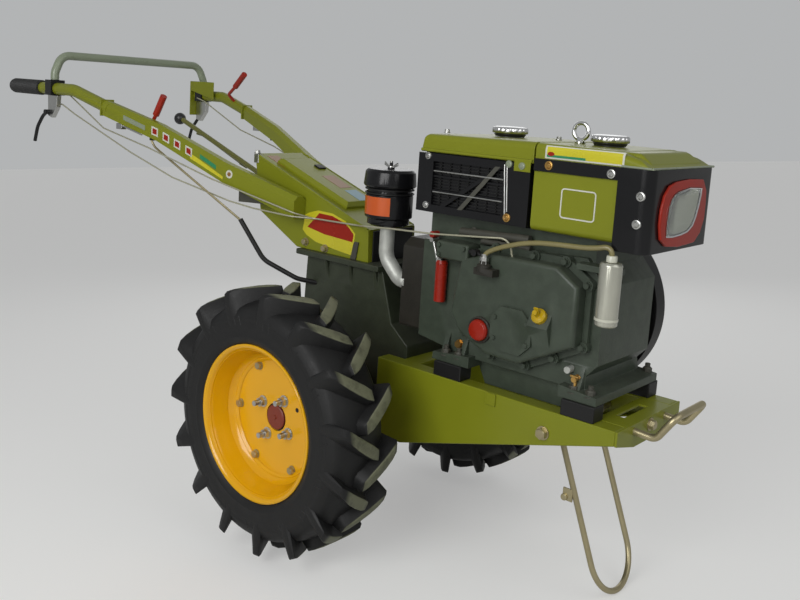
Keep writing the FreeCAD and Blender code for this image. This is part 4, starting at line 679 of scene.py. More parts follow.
def tyre(side, sign):
    """Carcass with its lugs, each row turned half a pitch from the other."""
    sizes = bpy.context.scene.tractor_sizes
    middle, out = wheel_place(sign)
    bm = bmesh.new()
    section = CARCASS + [(radius, -offset) for radius, offset in reversed(CARCASS[:-1])]
    lathe(bm, section + section[:1], (0, 0, 0), Z, 120)
    for row in (1, -1):
        row_bm = bmesh.new()
        add_lug(row_bm, math.radians(sizes.lug_sweep), 1)
        for step in range(3):
            # Short slanted ribs on the wall beside the lug
            angle = math.radians(5.5 + 4.5 * step)
            near, far = angle, angle + math.radians(1.6)
            bar(row_bm, (214 * math.cos(near), 214 * math.sin(near), 74.6),
                (233 * math.cos(far), 233 * math.sin(far), 73.4), 1.6, 6)
        turn = 2 * math.pi / sizes.lug_count
        bmesh.ops.spin(row_bm, geom=list(row_bm.verts) + list(row_bm.edges) + list(row_bm.faces), cent=(0, 0, 0), axis=Z,
                       angle=turn * (sizes.lug_count - 1), steps=sizes.lug_count - 1, use_duplicate=True)
        if row < 0:
            bmesh.ops.scale(row_bm, vec=(1, 1, -1), verts=row_bm.verts)
            bmesh.ops.rotate(row_bm, cent=(0, 0, 0), matrix=Matrix.Rotation(turn / 2, 3, "Z"), verts=row_bm.verts)
        bmesh.ops.recalc_face_normals(row_bm, faces=row_bm.faces)
        rows = bpy.data.meshes.new("lug_row")
        row_bm.to_mesh(rows)
        row_bm.free()
        bm.from_mesh(rows)
        bpy.data.meshes.remove(rows)
    # Turned about the axle so that rising angles run from the top towards the rear
    bm.transform(Matrix.Translation(middle) @ Matrix.Rotation(math.pi / 2, 4, "X"))
    return finish(bm, "tyre_tread_" + side, "wheel_" + side, "tyre_rubber", "tyre_rubber", ("tyre_" + side,), 40)


class TRACTOR_OT_wheels(bpy.types.Operator):
    """Tyres, dished rims with their bolts and studs, hubs and hub caps"""
    bl_idname = "tractor.wheels"
    bl_label = "Wheels"

    def execute(self, context):
        sizes = context.scene.tractor_sizes
        for side, sign in SIDES:
            tyre(side, sign)
            body = "wheel_" + side
            middle, out = wheel_place(sign)
            bm = bmesh.new()
            dish = RIM_DISH + [(radius, -offset) for radius, offset in reversed(RIM_DISH)]
            lathe(bm, dish + [(158, -60), (156, -44), (144, -26), (144, 26), (156, 44), (158, 60), dish[0]], middle, out, 96)
            add(bm, "rim_dish_" + side, "wheel_yellow", body, ("rim_" + side,), 40)
            ring = bmesh.new()
            lathe(ring, [(127, 3.4), (129.5, 5.2), (133, 8), (131, 8.6), (127.5, 6.4), (125, 4.4), (127, 3.4)], middle, out, 72)
            add(ring, "disc_seam_" + side, "wheel_yellow", body)
            bosses, studs, cap = bmesh.new(), bmesh.new(), bmesh.new()
            for index in range(sizes.rim_bolts):
                angle = 2 * math.pi * index / sizes.rim_bolts
                at = middle + out * 2.5 + sizes.bolt_circle * Vector((math.cos(angle), 0, math.sin(angle)))
                bolt(bosses, at, out, 15, 8, 10)
                bolt(bosses, at - out * 5, -out, 15, 8, 10, 4)
            for index in range(4):
                angle = math.radians(60 + 90 * index)
                at = middle + out * 2.5 + sizes.stud_circle * Vector((math.cos(angle), 0, math.sin(angle)))
                bolt(studs, at, out, 19, 12, 13, 14)
            lathe(cap, [(0, 6.4), (3.5, 6.4), (4.5, 5), (5, 3.6), (20, 3.6), (25.5, 3.2), (27.5, 1.5), (27.5, -3), (0, -3)],
                  middle + out * 2.5, out, 40)
            # Painted shade: a black disc on the wheel disc's face stands for the shade inside a hole
            hole = bmesh.new()
            bar(hole, middle + Vector((66, 0, 34)), middle + Vector((66, 0, 34)) + out * 2.9, 5, 20)
            add(bosses, "disc_bolts_" + side, "zinc", body)
            add(studs, "wheel_studs_" + side, "bright_steel", body)
            add(cap, "hub_cap_" + side, "rust_red", body, sharp=30)
            add(hole, "disc_hole_shade_" + side, "black_steel", body)
            dressed("hub_" + side, "gearbox_casting", 1.5)
        return {"FINISHED"}


class TRACTOR_OT_frame(bpy.types.Operator):
    """Side beams, cross plates, tow loop, stand and mounting blocks"""
    bl_idname = "tractor.frame"
    bl_label = "Frame"

    def execute(self, context):
        for node, fold in (("beam_right", 3), ("beam_left", 3), ("front_cross_plate", 1), ("rear_cross_plate", 1)):
            dressed(node, "green_paint", fold)
        dressed("front_loop", "zinc", 0)
        dressed("stand", "zinc", 0)
        dressed("stand_pivot", "zinc", 0.8)
        dressed("mounting_blocks", "black_steel", 2.5)
        bolts("pivot_bolt_right", "zinc", [(553, -135, 81)], -Y, 20, 11, 14)
        bolts("pivot_bolt_left", "zinc", [(553, 135, 81)], Y, 20, 11, 14)
        bolts("cross_plate_bolt", "zinc", [(709, 0, 112)], X, 17, 10, 13)
        bolts("block_nuts", "dusty_steel", mirrored([(292, 119, 173), (326, 119, 173), (602, 119, 173), (638, 119, 173)]),
              Z, 17, 12, 12, 8)
        for side, sign in SIDES:
            bm = bmesh.new()
            brick(bm, (414, sign * 135 if sign > 0 else -139, 102), (438, 139 if sign > 0 else -135, 128))
            add(bm, "beam_tab_" + side, "green_paint", soften=1)
        tab = bmesh.new()
        brick(tab, (578, -81, -64), (600, -77, -38))
        bar(tab, (583, -85, -57), (583, -73, -57), 7, 16)
        add(tab, "stand_tab", "zinc", "stand", soften=1)
        return {"FINISHED"}


class TRACTOR_OT_drive(bpy.types.Operator):
    """Gearbox, axle housings, hitch, pulleys and belts"""
    bl_idname = "tractor.drive"
    bl_label = "Drive"

    def execute(self, context):
        dressed("gearbox", "gearbox_casting", 3.0)
        dressed("axle_housings", "gearbox_casting", 2.0)
        dressed("hitch", "gearbox_casting", 1.5)
        dressed("clutch_pulley", "rust_red", 0.8)
        dressed("flywheel", "black_steel", 1.5)
        dressed("belts", "black_rubber", 0.8)
        dressed("side_lever", "black_steel", 0)
        return {"FINISHED"}


EAR_SPOTS = [(309, 300), (326, 396), (400, 421), (492, 421), (562, 421), (613, 384), (613, 264), (553, 229),
             (490, 199), (406, 201), (336, 234)]


class TRACTOR_OT_engine(bpy.types.Operator):
    """Crankcase, head, covers, caps and pump"""
    bl_idname = "tractor.engine"
    bl_label = "Engine"

    def execute(self, context):
        dressed("engine_block", "engine_casting", 3.0)
        dressed("cylinder_head", "dark_casting", 2.0)
        dressed("rocker_cover", "engine_casting", 2.0)
        dressed("gear_cover", "engine_casting", 1.5)
        dressed("start_cap", "red_gloss", 1.0)
        dressed("oil_cap", "yellow_plastic", 1.0)
        dressed("injection_pump", "dark_casting", 1.0)
        dressed("silencer", "black_steel", 1.0)
        bolts("cover_bolts", "engine_casting", [(x, -122, z) for x, z in EAR_SPOTS], -Y, 12, 7, 8)
        bolts("pad_bolts", "engine_casting", [(x, -157, z) for x, z in ((434, 292), (510, 292), (434, 250), (510, 250))],
              -Y, 9, 4, 0)
        bolts("rocker_nuts", "bright_steel", [(104, 0, 338), (104, 0, 258)], -X, 17, 12, 12, 6)
        # Painted shade: a near-black ring round the start cap stands for the shade in the groove round it
        bm = bmesh.new()
        lathe(bm, [(22.4, -2), (22.4, 5), (24.5, 6), (27, 4), (27.5, -2)], (396, -150, 256), -Y, 40)
        add(bm, "start_cap_groove_shade", "dark_casting")
        bm = bmesh.new()
        brick(bm, (266, -148, 383), (350, -103, 421))
        add(bm, "governor_housing", "engine_casting", soften=6)
        bolts("governor_bolts", "engine_casting", [(276, -148, 412), (340, -148, 412), (276, -148, 392)], -Y, 9, 5, 0)
        bm = bmesh.new()
        bar(bm, (348, -140, 408), (368, -143, 409), 5)
        bar(bm, (364, -143, 412), (402, -146, 396), 3.5)
        bar(bm, (366, -151, 409), (366, -136, 409), 7)
        bar(bm, (402, -152, 397), (402, -138, 395), 5.5)
        add(bm, "governor_lever", "black_steel")
        bm = bmesh.new()
        bar(bm, (262, -117, 284), (262, -117, 366), 13)
        bar(bm, (262, -117, 366), (262, -117, 374), 14, 24, 11)
        add(bm, "red_tube", "red_gloss", soften=1)
        bm = bmesh.new()
        bar(bm, (250, -118, 372), (234, -118, 418), 3)
        bar(bm, (254, -124, 370), (262, -124, 408), 3)
        bar(bm, (262, -127, 372), (262, -107, 372), 6)
        bar(bm, (236, -126, 414), (236, -106, 414), 5)
        add(bm, "tube_links", "bright_steel")
        bm = bmesh.new()
        bar(bm, (262, -108, 400), (262, -128, 400), 6)
        bar(bm, (238, -108, 426), (238, -128, 426), 7)
        add(bm, "link_ends", "red_gloss")
        bm = bmesh.new()
        bar(bm, (300, -108, 440), (470, -108, 448), 9, 20)
        bar(bm, (356, -110, 428), (474, -110, 430), 6, 20)
        bar(bm, (330, -112, 432), (330, -100, 450), 7)
        add(bm, "air_pipes", "dusty_steel", soften=1)
        bm = bmesh.new()
        bar(bm, (402, -162, 394), (402, -162, 408), 9.5, 6)
        bar(bm, (402, -162, 406), (402, -162, 414), 6.6, 16)
        add(bm, "pump_union", "bright_steel")
        bolts("engine_plug", "brass", [(316, -105, 200)], -Y, 15, 8, 10)
        bm = bmesh.new()
        bolt(bm, (604, -105, 200), -Y, 15, 7, 10)
        bar(bm, (604, -112, 200), (604, -127, 200), 5.5)
        bar(bm, (604, -120, 200), (604, -120, 186), 4)
        bar(bm, (596, -124, 206), (612, -124, 206), 2.6)
        add(bm, "drain_tap", "brass")
        bm = bmesh.new()
        bar(bm, (586, -104, 214), (586, -124, 214), 7)
        add(bm, "oil_stub", "silver_casting", soften=1)
        bm = bmesh.new()
        plate(bm, [(531, -166, 322), (541, -166, 322), (541, -171, 334), (531, -171, 334)], (0, -3, -1))
        add(bm, "oil_cap_tab", "yellow_plastic", soften=0.8)
        return {"FINISHED"}


class TRACTOR_OT_cooling(bpy.types.Operator):
    """Radiator, its guards and filler caps"""
    bl_idname = "tractor.cooling"
    bl_label = "Radiator"

    def execute(self, context):
        dressed("radiator_core", "black_paint", 1.0)
        dressed("radiator_top", "green_paint", 1.5)
        dressed("radiator_guards", "black_paint", 1.0)
        rim = bmesh.new()
        for sign in (-1, 1):
            bar(rim, (200, sign * 132, 604), (476, sign * 132, 604), 3.5, 12)
        bar(rim, (200, -132, 604), (200, 132, 604), 3.5, 12)
        add(rim, "radiator_rim", "green_paint")
        for side, sign in SIDES:
            tabs, tubes, wires, brace = bmesh.new(), bmesh.new(), bmesh.new(), bmesh.new()
            low, high = sorted((sign * 131, sign * 135.5))
            brick(tabs, (436, low, 582), (474, high, 606))
            add(tabs, "radiator_tab_" + side, "green_paint", soften=1)
            low, high = sorted((sign * 124, sign * 127))
            count = context.scene.tractor_sizes.core_tubes
            for index in range(count):
                height = 492 + 90 * index / (count - 1)
                brick(tubes, (234, low, height), (410, high, height + 1.8))
            for index in range(7):
                along = 250 + 24 * index
                brick(tubes, (along, low, 490), (along + 2, high, 584))
            add(tubes, "core_tubes_" + side, "black_steel")
            for height in (518, 562):
                bar(wires, (238, sign * 134.6, height), (414, sign * 134.6, height), 1.7, 8)
            bar(wires, (414, sign * 134.4, 592), (423, sign * 134.4, 486), 1.5, 8)
            bar(wires, (420, sign * 134.4, 592), (427, sign * 134.4, 500), 1.5, 8)
            add(wires, "guard_wires_" + side, "bright_steel")
            plate(brace, [(304, sign * 132.5, 488), (316, sign * 132.5, 488), (404, sign * 132.5, 586),
                          (392, sign * 132.5, 586)], (0, sign * 1.8, 0))
            add(brace, "guard_brace_" + side, "dusty_steel")
            out = Y * sign
            cup_screws("guard_screws_" + side, "bright_steel", [(220, sign * 134, 592), (221, sign * 134, 488)], out, 8)
            cup_screws("tab_screws_" + side, "pale_green", [(424, sign * 134.4, 594), (455, sign * 135.5, 593)], out, 7.5)
            cup_screws("guard_plug_" + side, "brass", [(428, sign * 134, 488)], out, 9)
        bolts("top_studs", "bright_steel", [(232, -92, 641), (424, 44, 641)], Z, 9, 6, 7)
        for name, spot in (("radiator", (330, 0, 641)), ("tank", (566, 0, 641))):
            base, crown = bmesh.new(), bmesh.new()
            lathe(base, [(0, 8), (32, 8), (34, 5), (31, 1), (31, 0), (0, 0)], spot, Z, 40)
            add(base, name + "_cap_base", "black_plastic")
            loft(crown, [star_ring(reach, 2.2, height) for reach, height in ((36.5, 7), (38, 8.5), (38, 16.5), (35.5, 19.5))]
                 + [star_ring(30, 0.5, 21)])
            bmesh.ops.translate(crown, vec=spot, verts=crown.verts)
            add(crown, name + "_cap_crown", "chrome", replaced=("filler_caps",), sharp=50)
        return {"FINISHED"}


LENS_AND_RING = [
    ((-42, 572), (-45, 590)), ((8, 577.5), (12, 593)), ((62, 575), (72, 591)), ((62, 562), (91, 569)),
    ((57, 543), (95, 541)), ((48, 520), (95, 514)), ((37, 504), (82, 487)), ((16, 493.5), (57, 470)),
    ((-14, 489.5), (-14, 467)), ((-50, 488), (-66, 472)), ((-77, 490), (-92, 486)), ((-80, 516), (-101, 514)),
    ((-77, 543), (-100, 542)), ((-70, 558), (-92, 566)), ((-58, 567), (-74, 583)),
]


def closed_band(bm, rows):
    """Joins rows of corners into a closed ring, the last row to the first."""
    loops = [[bm.verts.new(spot) for spot in row] for row in rows]
    for near, far in zip(loops, loops[1:] + loops[:1]):
        for index in range(len(near)):
            bm.faces.new((near[index - 1], near[index], far[index], far[index - 1]))


def side_strip(bm, along, low, high, proud, sign):
    """A thin strip up the tank's side and over its rounded edge."""
    outer, inner = [], []
    for step in range(9):
        height = low + (high - low) * step / 8
        rise = max(height - 629, 0)
        for reach, row in ((12 + proud, outer), (10.6, inner)):
            row.append((along[0], sign * (120 + math.sqrt(max(reach * reach - rise * rise, 0))), height))
    return plate(bm, outer + inner[::-1], (along[1] - along[0], 0, 0))


class TRACTOR_OT_tank(bpy.types.Operator):
    """Fuel tank, lifting eye, lamp cowl and lamp"""
    bl_idname = "tractor.tank"
    bl_label = "Tank and Lamp"

    def execute(self, context):
        dressed("fuel_tank", "green_paint", 1.5)
        dressed("lamp_cowl", "black_paint", 1.2)
        bump = bmesh.new()
        plate(bump, [(640, -112, 638), (684, -112, 638), (712, -112, 618), (712, -112, 606), (640, -112, 620)], (0, 224, 0))
        for vert in bump.verts:
            if vert.co.z > 630:
                vert.co.y *= 0.94
        add(bump, "hood_front", "green_paint", sharp=25, soften=7)
        lip = bmesh.new()
        for sign in (-1, 1):
            bar(lip, (664, sign * 133, 613.5), (722, sign * 133, 613.5), 2.2, 10)
        bar(lip, (724, -133, 613.5), (724, 133, 613.5), 2.2, 10)
        add(lip, "hood_lip", "pale_green")
        eye = bmesh.new()
        rim = [(16.5 + 4.5 * math.cos(math.tau * step / 12), 4.5 * math.sin(math.tau * step / 12)) for step in range(13)]
        lathe(eye, rim, (500, 0, 665), Y, 36)
        lathe(eye, [(0, 8), (6, 8), (8, 5), (11, 3), (11, 0), (0, 0)], (500, 0, 641), Z, 24)
        add(eye, "lifting_ring", "chrome", replaced=("lifting_eye",), sharp=50)
        for side, sign in SIDES:
            for name, paint, along, low, high, proud in (
                    ("label_edge", "white_label", (503, 668), 613, 637.5, 0.5),
                    ("label_field", "lime_label", (507, 664), 616, 635.5, 0.9),
                    ("label_wave", "leaf_label", (507, 590), 616, 620.5, 1.2)):
                bm = bmesh.new()
                side_strip(bm, along, low, high, proud, sign)
                add(bm, name + "_" + side, paint)
            bm = bmesh.new()
            lathe(bm, [(0, 1.3), (5, 1.3), (5, 0), (0, 0)], (516, sign * 132, 622), Y * sign, 24)
            bmesh.ops.scale(bm, vec=(1.5, 1, 0.8), verts=bm.verts, space=Matrix.Translation((-516, 0, -622)))
            add(bm, "label_spot_" + side, "red_gloss")
            bm = bmesh.new()
            corners = [bm.verts.new((x, sign * 131.5, z)) for x, z in ((545, 504), (619, 504), (619, 561), (545, 561))]
            face = bm.faces.new(corners)
            bmesh.ops.bevel(bm, geom=corners, offset=7, segments=4, profile=0.5, affect="VERTICES", material=-1)
            face = bm.faces[:][0]
            bmesh.ops.inset_region(bm, faces=[face], thickness=2.6, use_boundary=True)
            bmesh.ops.delete(bm, geom=[face], context="FACES")
            pushed = bmesh.ops.extrude_face_region(bm, geom=bm.faces[:])["geom"]
            bmesh.ops.translate(bm, vec=Y * sign * 1.2, verts=[item for item in pushed if isinstance(item, bmesh.types.BMVert)])
            add(bm, "side_plate_edge_" + side, "white_label")
            out = Y * sign
            cup_screws("band_screw_rear_" + side, "brass", [(516, sign * 137, 600)], out, 9)
            cup_screws("band_screw_front_" + side, "bright_steel", [(647, sign * 137, 598)], out, 9)
            cup_screws("cowl_screws_" + side, "bright_steel", [(708, sign * 137, 564), (705, sign * 137, 514)], out, 9)
        ring = bmesh.new()
        inner, outer, deep_inner, deep_outer = [], [], [], []
        for (lens_y, lens_z), (ring_y, ring_z) in LENS_AND_RING:
            inner.append((735, lens_y, lens_z))
            deep_inner.append((727, lens_y, lens_z))
            outer.append((733, ring_y, ring_z))
            deep_outer.append((727, ring_y, ring_z))
        closed_band(ring, (deep_inner, inner, outer, deep_outer))
        add(ring, "lamp_rim", "red_paint", replaced=("lamp_ring",), sharp=40, soften=2.5)
        middle = Vector((0, -5, 534))

        def lens_row(share, along):
            return [(along, middle.y + share * (y - middle.y), middle.z + share * (z - middle.z))
                    for (y, z), _ in LENS_AND_RING]

        # The reflector's dark olive tone is a painted reflection of the surroundings
        bowl = bmesh.new()
        rows = [lens_row(1.0, 728.5), lens_row(0.97, 727.5), lens_row(0.8, 723), lens_row(0.5, 720.5), lens_row(0.2, 719.5)]
        loft(bowl, rows)
        add(bowl, "lamp_reflector", "lamp_bowl_painted_reflection", sharp=60)
        bezel = bmesh.new()
        closed_band(bezel, (lens_row(1.0, 729), lens_row(1.0, 735.6), lens_row(0.95, 734.2), lens_row(0.95, 729)))
        add(bezel, "lamp_bezel", "chrome", sharp=40)
        glass = bmesh.new()
        loft(glass, [lens_row(1.0, 729.5), lens_row(1.0, 731), lens_row(0.96, 733), lens_row(0.8, 735), lens_row(0.4, 736)])
        add(glass, "lamp_lens", "lamp_glass", replaced=("lamp_glass",), sharp=60)
        return {"FINISHED"}


HOSE = [(402, -162, 408), (402, -162, 416), (440, -160, 434), (500, -157, 452), (560, -154, 457), (630, -149, 459),
        (668, -144, 470), (668, -144, 448)]


class TRACTOR_OT_intake(bpy.types.Operator):
    """Air filter, intake pipe, fuel filter and fuel hose"""
    bl_idname = "tractor.intake"
    bl_label = "Air and Fuel"

    def execute(self, context):
        dressed("air_filter", "black_paint", 1.0)
        dressed("air_filter_cap", "black_paint", 1.0)
        dressed("intake_pipe", "silver_casting", 0)
        dressed("fuel_filter", "filter_metal", 1.0)
        can = Vector((74, -85, 0))
        sheet = bmesh.new()
        first = math.radians(-142)
        ends = [sheet.verts.new(can + Vector((54 * math.cos(first), 54 * math.sin(first), height))) for height in (446, 487)]
        bmesh.ops.spin(sheet, geom=ends + [sheet.edges.new(ends)], cent=can, axis=Z, angle=math.radians(96), steps=24)
        bmesh.ops.recalc_face_normals(sheet, faces=sheet.faces)
        bmesh.ops.solidify(sheet, geom=sheet.faces[:], thickness=-0.9)
        add(sheet, "filter_label", "orange_label")
        rings = bmesh.new()
        for height in (494, 503):
            lathe(rings, [(53, height - 2), (56, height - 1.4), (56, height + 1.4), (53, height + 2)], can, Z, 48)
        add(rings, "filter_clamps", "black_steel")
        nut = bmesh.new()
        bar(nut, can + Z * 547, can + Z * 566, 3.5, 12)
        bar(nut, can + Z * 548, can + Z * 555, 8, 12, 6)
        for sign in (-1, 1):
            plate(nut, [can + Vector(spot) for spot in ((sign * 5, -1.5, 550), (sign * 20, -1.5, 556), (sign * 19, -1.5, 564),
                                                       (sign * 5, -1.5, 555))], (0, 3, 0))
        add(nut, "wing_nut", "bright_steel", soften=0.6)
        wire("fuel_hose_line", HOSE, 5, "frame", "tan_hose", ("fuel_hose",))
        bm = bmesh.new()
        lathe(bm, [(0, 452.5), (9, 452.5), (10, 451), (10, 441), (0, 441)], (668, -144, 0), Z, 24)
        lathe(bm, [(20.5, 332), (22, 333), (22, 337), (20.5, 338)], (668, -144, 0), Z, 32)
        add(bm, "filter_fittings", "cream_plastic")
        return {"FINISHED"}


STICKER = [(-202, 406), (-185, 414), (-155, 423), (-106, 422), (-62, 410), (-42, 396), (-27, 384), (-29, 364),
           (-37, 331), (-98, 337), (-159, 345), (-192, 357), (-207, 369), (-203, 389)]
RED_PATCH = [(-190, 378), (-130, 368), (-34, 363), (-32, 382), (-46, 394), (-64, 405), (-106, 416), (-150, 417)]


def slope_top(x):
    """Height of the tool box's sloping top."""
    return 398 + (14 - x) * 143 / 414


class TRACTOR_OT_tool_box(bpy.types.Operator):
    """Tool box and its lid"""
    bl_idname = "tractor.tool_box"
    bl_label = "Tool Box"

    def execute(self, context):
        dressed("tool_box", "green_paint", 1.5)
        dressed("tool_box_lid", "green_paint", 1.5)
        edges = bmesh.new()
        for sign in (-1, 1):
            bar(edges, (-396, sign * 82, slope_top(-396)), (10, sign * 82, slope_top(10)), 3, 10)
        add(edges, "box_edges", "green_paint")
        for side, sign in SIDES:
            for name, paint, outline, proud in (("box_sticker", "lime_label", STICKER, 0.6),
                                                ("box_sticker_red", "red_gloss", RED_PATCH, 1.0)):
                bm = bmesh.new()
                plate(bm, [(x, sign * 83, z) for x, z in outline], (0, sign * (1 + proud), 0))
                add(bm, name + "_" + side, paint)
        bm = bmesh.new()
        plate(bm, [(-27, -83, 366), (-12, -83, 366), (-19, -83, 322), (-37, -83, 322)], (0, -6, 0))
        add(bm, "box_strap", "dusty_steel", soften=2.5)
        bolts("box_bolts_right", "zinc", [(-193, -84, 340), (-124, -84, 334)], -Y, 14, 9, 10)
        bolts("box_bolts_left", "zinc", [(-193, 84, 340), (-124, 84, 334)], Y, 14, 9, 10)
        way = Vector((-414, 0, 143)).normalized()
        up = Y.cross(way) if Y.cross(way).z > 0 else way.cross(Y)
        start = Vector((14, 0, 398))

        def on_top(name, paint, near, far, low, high, thick, body="tool_box_lid", lift=0.0, soften=0.0):
            bm = bmesh.new()
            foot = start + up * lift
            plate(bm, [foot + way * near + Y * low, foot + way * near + Y * high, foot + way * far + Y * high,
                       foot + way * far + Y * low], up * thick)
            return add(bm, name, paint, body, soften=soften)

        back = LEVEL.inverted()
        lid_top = max((back @ vertex.co - start).dot(up) for vertex in frame["nodes"]["tool_box_lid"].data.vertices)
        on_top("lid_sticker_brown", "brown_label", 190, 262, -6, 34, 0.8, lift=lid_top - 0.3)
        on_top("lid_sticker_blue", "blue_label", 118, 176, -4, 36, 0.8, lift=lid_top - 0.3)
        on_top("lid_latch_low", "black_steel", 300, 322, 18, 44, 5, lift=lid_top - 0.5, soften=1.5)
        on_top("top_sticker", "brown_label", 345, 420, -58, -22, 0.8, "frame", -0.3)
        on_top("box_front_edge", "green_paint", -1, 8, -80, 80, 2.5, "frame", -1, 1)
        bm = bmesh.new()
        brick(bm, (-402, -86, 516), (-384, -78, 540))
        add(bm, "corner_bracket", "bright_steel", soften=2)
        bolts("corner_nut", "bright_steel", [(-392, -82, 541)], Z, 12, 7, 9)
        bm = bmesh.new()
        plate(bm, [(-392, -136, 452), (-262, -124, 452), (-262, -124, 424), (-392, -136, 418)], (0, -4, 0))
        add(bm, "arm_bracket", "dusty_steel", soften=1)
        bolts("arm_bracket_bolts", "zinc", [(-284, -129, 444), (-284, -129, 430)], -Y, 12, 8, 9)
        bm = bmesh.new()
        brick(bm, (16, -70, 322), (20, 70, 396))
        add(bm, "box_front_plate", "black_steel", soften=1)
        return {"FINISHED"}


def arm_outside(x):
    """Outer face of a handle arm at a place along it."""
    return 246 - (x + 835) * 142 / 635 + 19


def arm_top(x):
    """Top of a handle arm at a place along it."""
    stops = [(-835, 648), (-640, 597), (-420, 515.7), (-200, 452)]
    for (near, high), (far, low) in zip(stops, stops[1:]):
        if x <= far:
            return high + (low - high) * (x - near) / (far - near)
    return stops[-1][1]


def arm_decal(name, paint, near, far, upper, lower, proud=0.6, lean=0.0):
    """A thin sheet on both arms' outer faces, between two depths under the top."""
    for side, sign in SIDES:
        bm = bmesh.new()
        steps = [near + (far - near) * step / 4 for step in range(5)]
        top = [(x, upper + lean * (x - near) / (far - near)) for x in steps]
        foot = [(x, lower - lean * (far - x) / (far - near)) for x in reversed(steps)]
        corners = [(x, sign * (arm_outside(x) - 1.4), arm_top(x) - depth) for x, depth in top + foot]
        plate(bm, corners, (0, sign * (1.4 + proud), 0))
        add(bm, name + "_" + side, paint)


class TRACTOR_OT_handles(bpy.types.Operator):
    """Handle arms, grip, rail, levers and their wires"""
    bl_idname = "tractor.handles"
    bl_label = "Handles"

    def execute(self, context):
        for node in ("arm_right", "arm_left", "hand_guard_left"):
            dressed(node, "green_paint", 1.5)
        dressed("handle_rail", "pale_green", 1.5)
        dressed("rail_clamps", "black_paint", 1.5)
        dressed("lever_brackets", "bright_steel", 1.5)
        dressed("steering_levers", "black_steel", 0.8)
        dressed("clutch_lever", "red_paint", 1.0)
        dressed("hand_lever", "red_paint", 1.0)
        dressed("control_rods", "zinc", 0)
        dressed("control_cables", "pale_wire", 0)
        dressed("gear_lever", "pale_stick", 1.0)
        low, high = level_box("grip_right")
        axis_y, axis_z, radius = (low.y + high.y) / 2, (low.z + high.z) / 2, (high.z - low.z) / 2
        count = context.scene.tractor_sizes.grip_rings
        pitch = (high.x - low.x - 12) / count
        profile = [(0, 0), (radius - 4, 0), (radius - 1.5, 2), (radius - 1.5, 5)]
        for index in range(count):
            foot = 6 + pitch * index
            profile += [(radius - 2, foot), (radius, foot + pitch * 0.25), (radius, foot + pitch * 0.7),
                        (radius - 2, foot + pitch * 0.95)]
        profile += [(radius - 2, high.x - low.x), (0, high.x - low.x)]
        bm = bmesh.new()
        lathe(bm, profile, (low.x, axis_y, axis_z), X, 32)
        add(bm, "ribbed_grip", "black_rubber", replaced=("grip_right",), sharp=50)
        knob = bmesh.new()
        lathe(knob, [(0, 17)] + [(17.5 * math.sin(math.pi * step / 12), 17 * math.cos(math.pi * step / 12))
                                 for step in range(1, 12)] + [(0, -17)], (-848, 0, 603), X, 24)
        add(knob, "gear_knob", "black_plastic", sharp=60)
        rod = bmesh.new()
        bar(rod, (-760, 22, 560), (-560, 22, 486), 4, 12)
        bar(rod, (-760, 22, 560), (-760, -2, 566), 4, 12)
        bar(rod, (-560, 22, 486), (-560, -2, 498), 4, 12)
        add(rod, "second_stick", "pale_stick")
        for start, colour in ((-657, "white_label"), (-618, "white_label"), (-580, "white_label"), (-541, "white_label")):
            arm_decal("arm_square_%d" % -start, colour, start, start + 22, 10, 32)
            arm_decal("arm_mark_%d" % -start, "red_gloss", start + 4, start + 18, 14, 28, 0.9)
        arm_decal("arm_flame_yellow", "lime_label", -525, -418, 24, 42, 0.6, 5)
        arm_decal("arm_flame_green", "leaf_label", -492, -440, 11, 27, 1.3, 5)
        arm_decal("arm_patch", "pale_green", -757, -680, 14, 30, 0.6, 3)
        for side, sign in SIDES:
            bm = bmesh.new()
            lathe(bm, [(0, 2), (10.5, 2), (10.5, 0), (0, 0)], (-398, sign * (arm_outside(-398) - 1), arm_top(-398) - 21),
                  Vector((0.22, sign, 0)), 28)
            add(bm, "arm_disc_" + side, "white_label")
            bm = bmesh.new()
            lathe(bm, [(0, 2.4), (5.5, 2.4), (5.5, 0), (0, 0)], (-398, sign * (arm_outside(-398) - 1), arm_top(-398) - 21),
                  Vector((0.22, sign, 0)), 20)
            add(bm, "arm_disc_mark_" + side, "brown_label")
            bm = bmesh.new()
            seam = -842
            brick(bm, (seam - 3, sign * 246 - 20.6, 606), (seam + 3, sign * 246 + 20.6, 650.6))
            add(bm, "arm_seam_" + side, "green_paint", soften=1)
            bm = bmesh.new()
            bar(bm, (-778, sign * 240, 600), (-778, sign * 240, 578), 6)
            brick(bm, (-792, sign * 240 - 8, 574), (-766, sign * 240 + 8, 590))
            bar(bm, (-768, sign * 240, 584), (-700, sign * 226, 566), 4, 12)
            bar(bm, (-700, sign * 226, 566), (-700, sign * 226, 585), 4, 12)
            add(bm, "wire_stop_" + side, "bright_steel", soften=1.2)
            bm = bmesh.new()
            for along in (-678, -668):
                bar(bm, (along, sign * 212, 572), (along, sign * 212, 552), 4.5, 8)
            add(bm, "arm_clips_" + side, "black_steel")
        return {"FINISHED"}


CAMERA_ANGLES = (41.06, 4.87, -0.61)
CAMERA_LENS = 40.63
CAMERA_SHIFT = -0.09
CAMERA_SPOT = (1.4814, -1.6125, 0.5782)
LAMPS = (("key", (1.0, -3.4, 1.9), 76, 2.2), ("fill", (3.7, -0.7, 2.3), 26, 2.8), ("rim", (-1.6, 2.8, 2.2), 16, 2.6))
FLOOR_COLOR = (0.56, 0.56, 0.54, 1)
FLOOR_GLOW = 0.34
AIR_GLOW = 0.46
AIR_LIGHT = 0.22
MIRROR_SHARE = 0.45


